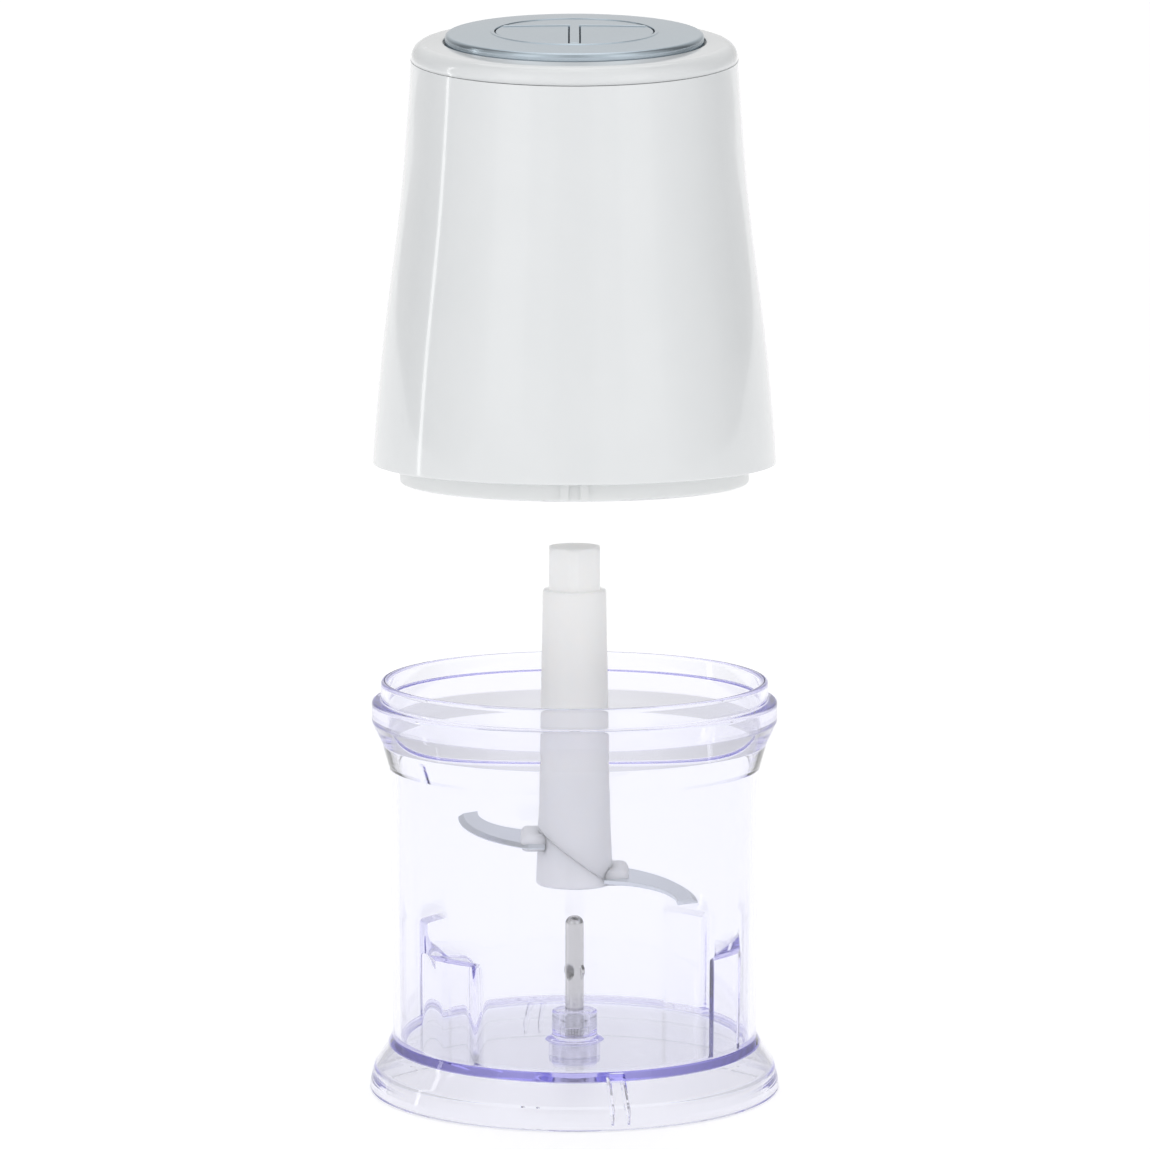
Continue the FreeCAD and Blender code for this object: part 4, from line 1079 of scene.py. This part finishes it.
def arc_through(first: Array, middle: Array, last: Array, count: int) -> Array:
    """Points of the circle arc through three points, evenly spread in angle."""
    rows = 2 * np.array([middle - first, last - first])
    sums = np.array([middle @ middle - first @ first, last @ last - first @ first])
    centre = np.linalg.solve(rows, sums)
    a0, a1, a2 = (math.atan2(*(p - centre)[::-1]) for p in (first, middle, last))
    turn = (a2 - a0) % (2 * math.pi)
    if (a1 - a0) % (2 * math.pi) > turn:
        turn -= 2 * math.pi
    angles = a0 + np.linspace(0, turn, count)
    radius = np.linalg.norm(first - centre)
    return centre + radius * np.stack([np.cos(angles), np.sin(angles)], 1)


@dataclass
class Blade:
    """Flat sickle blade with one ground edge.

    Args:
        name: name of the piece.
        node: the CAD node it stands for.
        height: height of its plane at the axis, above the hub's underside.
        turn: turn about the axis, in degrees.
        thick: thickness.
        bevel: width of the ground edge.
        lean: tilt about X, in degrees.
    """

    name: str
    node: str
    height: float
    turn: float
    thick: float = 1.2
    bevel: float = 1.5
    lean: float = 5.0

    def edge(self, inset: float, count: int = 72) -> Array:
        """Convex cutting edge from root to tip, drawn in by an inset."""
        root, bend = np.array([8.3, 7.6 - inset]), np.array([13.0, 7.9 - inset])
        belly = np.array([26.8 - inset * 0.86, -4.6 - inset * 0.5])
        arc = arc_through(bend, belly, np.array([33.8 - inset, -26.5]), count - 4)
        return np.concatenate([root + (bend - root) * np.linspace(0, 0.75, 4)[:, None], arc])

    def back(self, count: int = 72) -> Array:
        """Hollow back from root to heel."""
        root, bend = np.array([8.3, -7.6]), np.array([14.0, -9.2])
        arc = arc_through(bend, np.array([25.2, -18.2]), np.array([28.2, -29.0]), count - 4)
        return np.concatenate([root + (bend - root) * np.linspace(0, 0.75, 4)[:, None], arc])

    def build(self) -> bpy.types.Object:
        """Sweeps the bevelled section from root to tip and closes both ends."""
        cut, ground, hollow = self.edge(0.0), self.edge(self.bevel), self.back()
        middle = (ground + hollow) / 2
        inner = hollow + (ground - hollow) / np.linalg.norm(ground - hollow, axis=1)[:, None] * 0.12
        rows = [(cut, 0.0), (cut, 0.25), (ground, self.thick), (middle, self.thick), (inner, self.thick),
                (hollow, self.thick - 0.12), (hollow, 0.12), (inner, 0.0), (middle, 0.0)]
        loops = np.stack([np.concatenate([line, np.full((len(line), 1), z)], 1) for line, z in rows])
        root_cap = np.broadcast_to(loops[:, :1].mean(0), loops[:, :1].shape)
        tip_cap = np.broadcast_to(loops[:, -1:].mean(0), loops[:, -1:].shape)
        loops = np.concatenate([root_cap, loops, tip_cap], 1)
        surface = Surface()
        surface.grid(loops[::-1], wrap_u=True)
        place = about_x(math.radians(self.lean)) @ about_z(math.radians(self.turn))
        lift = np.array([0, 0, self.height - self.thick / 2])
        surface.moved(lambda points: points @ place.T + lift).moved(in_hub)
        return attach(surface.mesh(self.name, sharp=14), Body.BLADES, BLADE_STEEL, "blade_steel", self.node)


# ---------------------------------------------------------------------------------------
# Head
# ---------------------------------------------------------------------------------------
@dataclass
class HeadShell:
    """White waisted outer shell of the head, cut by the leaning top, with the cable inlet.

    Args:
        waist: (radius, height) points that the outer curve passes through.
        wall: wall thickness.
        inlet: height of the cable inlet.
        inlet_r: radius of the inlet hole.
    """

    waist: tuple[tuple[float, float], ...] = (
        (56.5, 0), (56.2, 4.5), (55.0, 18.5), (53.6, 32.5), (51.4, 50.1), (49.7, 63.0),
        (48.0, 77.8), (46.6, 94.6), (45.4, 113.0), (45.1, 124.0))
    wall: float = 2.2
    inlet: float = 84.0
    inlet_r: float = 5.1

    def rows(self) -> Array:
        """Heights of the rows that stay level, closer together round the inlet."""
        half = self.inlet_r + 0.1
        low, high = self.inlet - half, self.inlet + half
        below = [[0.5, 0.9, 1.6], np.linspace(3, low - 7, 26), np.linspace(low - 5.6, low - 1.1, 5)]
        above = [np.linspace(high + 1.1, high + 5.6, 5), [100.0]]
        return np.concatenate([*below, np.linspace(low, high, 11), *above])

    def wall_grid(self, angles: Array, inset: float) -> Array:
        """One skin of the wall, warped round the inlet so that a square of cells becomes its circle.

        Args:
            angles: angles round the axis.
            inset: how far the skin lies inside the outer one.

        Returns:
            (angles, heights, 3) points from the rim up to the leaning plane.
        """
        curve = smooth_curve(np.array(self.waist), 400)
        rows = self.rows()
        z = np.tile(rows, (len(angles), 1))
        lean = TOP_LEAN
        top = HEAD_H + (-2.34 + math.sin(lean) * 45.3 * np.sin(angles)) / math.cos(lean)
        upper = 100.0 + (top[:, None] - 100.0) * np.array([0.2, 0.4, 0.6, 0.8, 0.96, 1.0])
        z = np.concatenate([z, upper], 1)
        spread_r = 47.4
        s = (np.tile(angles[:, None], (1, z.shape[1])) - math.pi / 2) * spread_r
        h = z - self.inlet
        half, far = self.inlet_r + 0.1, self.inlet_r + 5.8
        size = np.maximum(np.abs(s), np.abs(h))
        length = np.maximum(np.hypot(s, h), 1e-6)
        fade = np.clip((far - size) / (far - half), 0, 1)
        scale = 1 + fade * (size / length * self.inlet_r / half - 1)
        near = size < far
        s, h = np.where(near, s * scale, s), np.where(near, h * scale, h)
        angle, z = math.pi / 2 + s / spread_r, self.inlet + h
        r = np.interp(z, curve[:, 1], curve[:, 0]) - inset
        return np.stack([r * np.cos(angle), r * np.sin(angle), z], -1)

    def build(self) -> bpy.types.Object:
        """Joins the outer and inner skins at the rim, at the top and through the inlet."""
        half = self.inlet_r + 0.1
        pitch = math.degrees(half / 47.4) / 5
        near = 90 + pitch * np.arange(-11, 12)
        far = np.linspace(near[-1], near[0] + 360, 270)[1:-1]
        angles = np.radians(np.concatenate([near, far]))
        outer, inner = self.wall_grid(angles, 0.0), self.wall_grid(angles, self.wall)
        z = outer[0, :, 2]
        columns = outer.shape[1]
        first_row = int(np.argmin(np.abs(self.rows() - (self.inlet - half))))
        hole = np.zeros((len(angles), columns - 1), bool)
        hole[6:16, first_row:first_row + 10] = True
        direction = np.stack([np.cos(angles), np.sin(angles), 0 * angles], 1)[:, None, :]
        rim_r = np.array([54.95, 54.95, 55.1, 56.2, 56.42])
        rim_z = np.array([9.0, 0.25, 0.0, 0.0, 0.12])
        rim_points = direction * rim_r[None, :, None] + np.array([0, 0, 1]) * rim_z[None, :, None]
        inner_kept = inner[:, z > 9.2][:, ::-1]
        dropped = int((z <= 9.2).sum())
        sheet = np.concatenate([inner_kept, rim_points, outer], 1)
        count_in, count_rim = inner_kept.shape[1], rim_points.shape[1]
        keep = np.ones((len(angles), sheet.shape[1]), bool)
        keep[:, count_in + count_rim:-1] = ~hole
        keep[:, :count_in - 1] = ~hole[:, dropped:][:, ::-1]
        surface = Surface()
        surface.grid(sheet, wrap_u=True, wrap_v=True, keep=keep)
        surface.grid(self.tunnel(outer, inner, first_row))
        surface.moved(in_head)
        shell = surface.mesh("head_shell", sharp=35)
        return attach(shell, Body.HEAD, WHITE_GLOSS, "white_gloss", "head_housing")

    def tunnel(self, outer: Array, inner: Array, row: int) -> Array:
        """Short tube through the wall, between the two skins' openings.

        Args:
            outer: points of the outer skin.
            inner: points of the inner skin.
            row: first row of the opening.

        Returns:
            A closed grid from the inner opening to the outer one.
        """
        loops = []
        for skin in (inner, outer):
            part = skin[6:17, row:row + 11]
            loops.append(np.concatenate([part[:-1, 0], part[-1, :-1], part[:0:-1, -1], part[0, ::-1]]))
        return np.stack(loops, 1)


@dataclass
class SteelDisc:
    """Domed steel disc with a rolled edge and a round opening for the keys.

    Args:
        radius: outer radius.
        opening: radius of the key opening.
        crown: height of the dome above the shoulder plane.
        ball: twice the dome's radius of curvature.
        roll: radius of the rolled edge.
    """

    radius: float = 35.9
    opening: float = 22.2
    crown: float = 5.7
    ball: float = 1520.0
    roll: float = 1.2

    def dome(self, r: float) -> float:
        """Height of the dome at a radius."""
        return self.crown - r * r / self.ball

    def build(self) -> bpy.types.Object:
        """Turns the pressed section."""
        lip = self.opening + 0.9
        raised = self.dome(self.opening) + .22
        corners = (Corner(self.radius, 0.9, .2), Corner(self.radius, self.dome(self.radius), self.roll),
                   Corner(31, self.dome(31)), Corner(27, self.dome(27)), Corner(lip + .3, self.dome(lip), .2),
                   Corner(lip, self.dome(lip) + .22, .15), Corner(self.opening, raised, .2),
                   Corner(self.opening, 4.3, .1), Corner(34.5, 3.9, .9), Corner(35.0, 0.9, .2))
        line = trace(corners, steps=8, closed=True, hold=0.12)
        surface = Surface()
        surface.lathe(line[:, 0], line[:, 1], ring_angles(288))
        surface.moved(in_top)
        return attach(surface.mesh("disc_pressed", sharp=35), Body.HEAD, TOP_STEEL, "brushed_top", "top_disc")


@dataclass
class Plate:
    """Domed steel plate of any rounded plan, with rounded edges.

    Args:
        plan: (x, y) corners of its plan, counter-clockwise.
        low: height of its underside.
        crown: height of the dome at the axis.
        raised: how far its top stands above the disc's dome.
        round: radius of its upper edge.
    """

    plan: Array
    low: float = 3.5
    crown: float = 5.7
    raised: float = 0.0
    round: float = 0.3

    def build(self, surface: Surface) -> None:
        """Adds the closed plate: rings of its plan, drawn in over the rounded edge, then to its middle."""
        plan = self.plan
        ahead, behind = np.roll(plan, -1, 0) - plan, plan - np.roll(plan, 1, 0)
        ahead, behind = (v / np.maximum(np.linalg.norm(v, axis=1), 1e-9)[:, None] for v in (ahead, behind))
        tangent = ahead + behind
        tangent = tangent / np.linalg.norm(tangent, axis=1)[:, None]
        inward = np.stack([-tangent[:, 1], tangent[:, 0]], 1)
        centre = plan.mean(0)
        turn = np.linspace(0, math.pi / 2, 5)
        rings = [plan + inward * 0.25, plan + inward * 0.05, plan]
        drops = [None, None, None]
        for angle in turn:
            rings.append(plan + inward * self.round * (1 - math.cos(angle)))
            drops.append(self.round * (1 - math.sin(angle)))
        inner = rings[-1]
        for share in (0.985, 0.9, 0.75, 0.5, 0.25):
            rings.append(centre + (inner - centre) * share)
            drops.append(0.0)
        heights = []
        for ring, drop in zip(rings, drops):
            top = self.crown + self.raised - (ring ** 2).sum(1) / 1520.0
            heights.append(np.full(len(ring), self.low) if drop is None else top - drop)
        heights[2] = heights[2] + 0.15
        grid = np.stack([np.concatenate([ring, z[:, None]], 1) for ring, z in zip(rings, heights)], 1)
        floor = np.broadcast_to(np.array([*centre, self.low]), (len(plan), 1, 3))
        roof_z = self.crown + self.raised - (centre ** 2).sum() / 1520.0
        roof = np.broadcast_to(np.array([*centre, roof_z]), (len(plan), 1, 3))
        surface.grid(np.concatenate([floor, grid, roof], 1), wrap_u=True)


def circle_part(radius: float, start: float, end: float, count: int) -> list[Corner]:
    """Corners along a circle in plan, as unrounded points between two angles in degrees."""
    angles = np.radians(np.linspace(start, end, count))
    return [Corner(radius * math.cos(a), radius * math.sin(a)) for a in angles]


@dataclass
class Keys:
    """The two pressed key caps and the fixed half-moon with the bar between them.

    Args:
        radius: radius of the opening in the disc.
        gap: gap round each key.
        chord: front edge of the half-moon.
        bar: half the bar's width.
    """

    radius: float = 22.2
    gap: float = 0.3
    chord: float = 7.8
    bar: float = 1.35

    def cap_plan(self) -> Array:
        """Plan of the +X key: a circle part with two straight sides and rounded tips."""
        r, x, y = self.radius - self.gap, self.bar + self.gap, self.chord - self.gap
        start, end = math.degrees(-math.acos(x / r)), math.degrees(math.asin(y / r))
        arc = circle_part(r, start, end, 40)
        first, last = (Corner(end.r, end.z, .5) for end in (arc[0], arc[-1]))
        corners = [first, *arc[1:-1], last, Corner(x, y, .6)]
        return refine(trace(corners, closed=True, hold=0.3), 2.0)

    def build(self) -> None:
        """Makes both caps and the half-moon."""
        plan = self.cap_plan()
        for side, body, node in ((1, Body.KEY_RIGHT, "key_right"), (-1, Body.KEY_LEFT, "key_left")):
            surface = Surface()
            placed = plan if side > 0 else (plan * [-1, 1])[::-1]
            Plate(placed).build(surface)
            surface.moved(in_top)
            attach(surface.mesh(node + "_cap", sharp=30), body, TOP_STEEL, "brushed_top", node)
        r = self.radius - 0.1
        tip = math.degrees(math.asin(self.chord / r))
        arc = circle_part(r, tip, 180 - tip, 60)
        corners = [Corner(arc[0].r, arc[0].z, .4), *arc[1:-1], Corner(arc[-1].r, arc[-1].z, .4)]
        surface = Surface()
        Plate(refine(trace(corners, closed=True, hold=0.3), 2.0)).build(surface)
        foot = math.sqrt(r * r - self.bar ** 2)
        bar = (Corner(-self.bar, -foot, .3), Corner(self.bar, -foot, .3), Corner(self.bar, 8.6, .3),
               Corner(-self.bar, 8.6, .3))
        Plate(refine(trace(bar, closed=True, hold=0.2), 1.5), raised=0.28, round=0.35).build(surface)
        reach = math.sqrt(r * r - (self.chord + 1.6) ** 2) - 0.1
        across = (Corner(-reach, self.chord, .3), Corner(reach, self.chord, .3),
                  Corner(reach, self.chord + 1.6, .5), Corner(-reach, self.chord + 1.6, .5))
        Plate(refine(trace(across, closed=True, hold=0.2), 1.5), raised=0.28, round=0.35).build(surface)
        surface.moved(in_top)
        attach(surface.mesh("half_moon_bar", sharp=30), Body.HEAD, TOP_STEEL, "brushed_top", "key_frame")


@dataclass
class Grommet:
    """Rubber cable inlet in the rear wall, turned about a line along Y.

    Args:
        height: height of its axis above the rim plane.
        corners: section, as distance from its axis and Y.
    """

    height: float = 84.0
    corners: tuple[Corner, ...] = (
        Corner(3.2, 52.4, .3), Corner(3.2, 41.6, .3), Corner(6.6, 41.6, .6), Corner(6.6, 44, .3),
        Corner(5, 44), Corner(5, 48.2), Corner(7, 48.2, .3), Corner(7, 49.8, .7), Corner(5.2, 50.4, .5),
        Corner(4.8, 52.4, .4))

    def build(self) -> bpy.types.Object:
        """Turns the section and lays it along Y."""
        line = trace(self.corners, closed=True, hold=0.1)
        surface = Surface()
        surface.lathe(line[:, 0], line[:, 1], ring_angles(72))
        surface.moved(lambda p: np.stack([p[:, 0], p[:, 2], self.height - p[:, 1]], 1)).moved(in_head)
        inlet = surface.mesh("inlet_grommet", sharp=35)
        return attach(inlet, Body.HEAD, GREY_RUBBER, "grey_rubber", "cable_grommet")


# ---------------------------------------------------------------------------------------
# Parts that keep their CAD shape
# ---------------------------------------------------------------------------------------
SLOT_FINISH: dict[str, Plastic | Steel | ClearPlastic] = {
    "clear_plastic": CLEAR, "white_gloss": WHITE_SATIN, "milky_plastic": MILKY, "black_plastic": BLACK,
    "acetal": ACETAL, "brushed_top": TOP_STEEL, "blade_steel": BLADE_STEEL, "pin_steel": PIN_STEEL,
    "screw_steel": SCREW_STEEL, "spring_steel": SCREW_STEEL, "lamination": LAMINATION,
    "winding_copper": COPPER, "commutator_copper": COPPER, "carbon": CARBON, "motor_frame": ALUMINIUM,
    "sintered": BRONZE, "black_rubber": BLACK_RUBBER, "grey_rubber": GREY_RUBBER, "gear_steel": GEAR_STEEL,
    "board_green": BOARD, "capacitor_box": YELLOW_BOX}


def dress_cad_nodes() -> None:
    """Gives every CAD node the finish of its material slot."""
    slots = {part["node"]: part["material_slot"] for part in frame["record"]["subparts"]}
    for name, node in frame["nodes"].items():
        WARDROBE.dress(node, SLOT_FINISH[slots[name]])
    WARDROBE.dress(frame["nodes"]["top_cover"], WHITE_GLOSS)


# ---------------------------------------------------------------------------------------
# Studio
# ---------------------------------------------------------------------------------------
@dataclass
class Studio:
    """White sweep, soft boxes and camera.

    Args:
        distance: from the camera to its aim, in metres.
        pitch: how far the camera looks down, in degrees.
        aim: height of the aim, in metres.
        lens: focal length in millimetres, on a 36 mm sensor.
        bands: brightness of the world round the object, from the camera's side (0) to behind (1).
        rise: how the half behind the object changes with height above the horizon.
    """

    distance: float = 1.5297
    pitch: float = 7.66
    aim: float = 0.14603
    lens: float = 170.7
    bands: tuple[tuple[float, float], ...] = (
        (0.0, 0.68), (0.055, 0.68), (0.085, 0.95), (0.30, 0.95), (0.38, 0.70), (0.49, 0.48),
        (0.56, 0.24), (0.65, 0.26), (0.74, 0.55), (0.82, 0.70), (0.90, 0.85), (0.945, 1.0), (1.0, 1.0))
    rise: tuple[tuple[float, float], ...] = (
        (0.0, 1.0), (0.05, 0.97), (0.10, 0.80), (0.25, 0.74), (0.33, 0.80), (0.45, 0.90), (0.85, 1.0),
        (1.0, 1.0))

    def build(self) -> None:
        """Sets the world, floor, lamps and camera."""
        self.world()
        self.floor()
        self.lamp("soft_left", (-0.75, -0.85, 0.62), (0.5, 0.75), 0.38)
        self.lamp("soft_right", (0.75, -0.85, 0.62), (0.5, 0.75), 0.33)
        self.lamp("strip_left", (-1.0, 0.12, 0.35), (0.05, 1.0), 0.45)
        self.lamp("soft_top", (0.0, 0.15, 1.3), (0.9, 0.9), 1.6)
        self.camera()
        scene = bpy.context.scene
        scene.view_settings.view_transform = "Standard"
        scene.view_settings.look = "None"
        scene.cycles.max_bounces = 64
        scene.cycles.transmission_bounces = 48
        scene.cycles.glossy_bounces = 48
        scene.cycles.diffuse_bounces = 5
        scene.cycles.transparent_max_bounces = 24
        scene.cycles.use_denoising = True
        scene.cycles.sample_clamp_indirect = 6.0

    def world(self) -> None:
        """White world with darker bands at both sides, which draw the edges of clear and glossy parts."""
        world = bpy.data.worlds.new("studio")
        bpy.context.scene.world = world
        world.use_nodes = True
        tree = world.node_tree
        back = tree.nodes["Background"]
        place = tree.nodes.new("ShaderNodeTexCoord").outputs["Generated"]
        parts = tree.nodes.new("ShaderNodeSeparateXYZ")
        wire(tree, place, parts.inputs[0])
        aside = maths(tree, "ARCTAN2", maths(tree, "ABSOLUTE", parts.outputs[0]),
                      maths(tree, "MULTIPLY", parts.outputs[1], -1.0))
        round_it = maths(tree, "DIVIDE", aside, math.pi)
        behind = maths(tree, "MULTIPLY", maths(tree, "SUBTRACT", round_it, 0.5), 8.0, clamp=True)
        up = self.curve(tree, parts.outputs[2], self.rise)
        loss = maths(tree, "MULTIPLY", behind, maths(tree, "SUBTRACT", 1.0, up))
        dimmed = maths(tree, "SUBTRACT", 1.0, loss)
        light = maths(tree, "MULTIPLY", self.curve(tree, round_it, self.bands), dimmed)
        path = tree.nodes.new("ShaderNodeLightPath")
        mix = tree.nodes.new("ShaderNodeMix")
        mix.data_type = "RGBA"
        wire(tree, path.outputs["Is Camera Ray"], mix.inputs[0])
        wire(tree, light, mix.inputs[6])
        mix.inputs[7].default_value = (1, 1, 1, 1)
        wire(tree, mix.outputs[2], back.inputs["Color"])
        back.inputs["Strength"].default_value = 1.0

    @staticmethod
    def curve(tree: bpy.types.NodeTree, value: bpy.types.NodeSocket, stops: Sequence[tuple[float, float]]
              ) -> bpy.types.NodeSocket:
        """Maps a value through straight steps between (position, brightness) stops."""
        ramp = tree.nodes.new("ShaderNodeValToRGB")
        wire(tree, value, ramp.inputs[0])
        elements = ramp.color_ramp.elements
        for element, (at, bright) in zip((elements[0], elements[1]), (stops[0], stops[-1])):
            element.position, element.color = at, (bright, bright, bright, 1)
        for at, bright in stops[1:-1]:
            elements.new(at).color = (bright, bright, bright, 1)
        return ramp.outputs[0]

    def floor(self) -> None:
        """Large pale floor."""
        data = bpy.data.meshes.new("floor")
        reach, drop = 40.0, -0.0003
        corners = [(-reach, -reach, drop), (reach, -reach, drop), (reach, reach, drop), (-reach, reach, drop)]
        data.from_pydata(corners, [], [(0, 1, 2, 3)])
        plane = bpy.data.objects.new("floor", data)
        bpy.context.scene.collection.objects.link(plane)
        made = Material("pale_floor")
        made.put(Base_Color=(0.80, 0.80, 0.805, 1), Roughness=0.8)
        made.put(Emission_Color=(1, 1, 1, 1), Emission_Strength=0.472)
        data.materials.append(made.data)

    def lamp(self, name: str, place: tuple[float, float, float], size: tuple[float, float],
             power: float) -> None:
        """Adds one soft box that faces the object's middle."""
        data = bpy.data.lights.new(name, "AREA")
        data.shape = "RECTANGLE"
        data.size, data.size_y = size
        data.energy = power
        lamp = bpy.data.objects.new(name, data)
        lamp.location = place
        lamp.rotation_euler = (Vector((0, 0, 0.15)) - Vector(place)).to_track_quat("-Z", "Y").to_euler()
        bpy.context.scene.collection.objects.link(lamp)

    def camera(self) -> None:
        """Adds the camera, level with the object and looking slightly down."""
        pitch = math.radians(self.pitch)
        data = bpy.data.cameras.new("camera")
        data.lens = self.lens
        data.sensor_width = 36.0
        data.clip_end = 100.0
        camera = bpy.data.objects.new("camera", data)
        back, up = self.distance * math.cos(pitch), self.distance * math.sin(pitch)
        camera.location = (0.00014, -back, self.aim + up)
        camera.rotation_euler = (math.pi / 2 - pitch, 0, 0)
        bpy.context.scene.collection.objects.link(camera)
        bpy.context.scene.camera = camera


def main() -> None:
    """Builds and dresses every part, then the studio."""
    dress_cad_nodes()
    LOG.info("CAD nodes dressed: %d", len(frame["nodes"]))
    Bowl().build()
    BowlPin().build()
    hub = Hub()
    hub.build_body()
    hub.build_foot()
    Blade("blade_high", "blade_upper", 12.4, 180.0).build()
    Blade("blade_low", "blade_lower", 2.4, 0.0).build()
    HeadShell().build()
    SteelDisc().build()
    Keys().build()
    Grommet().build()
    Studio().build()


if __name__ == "__main__":
    logging.basicConfig(level=logging.INFO)
    main()
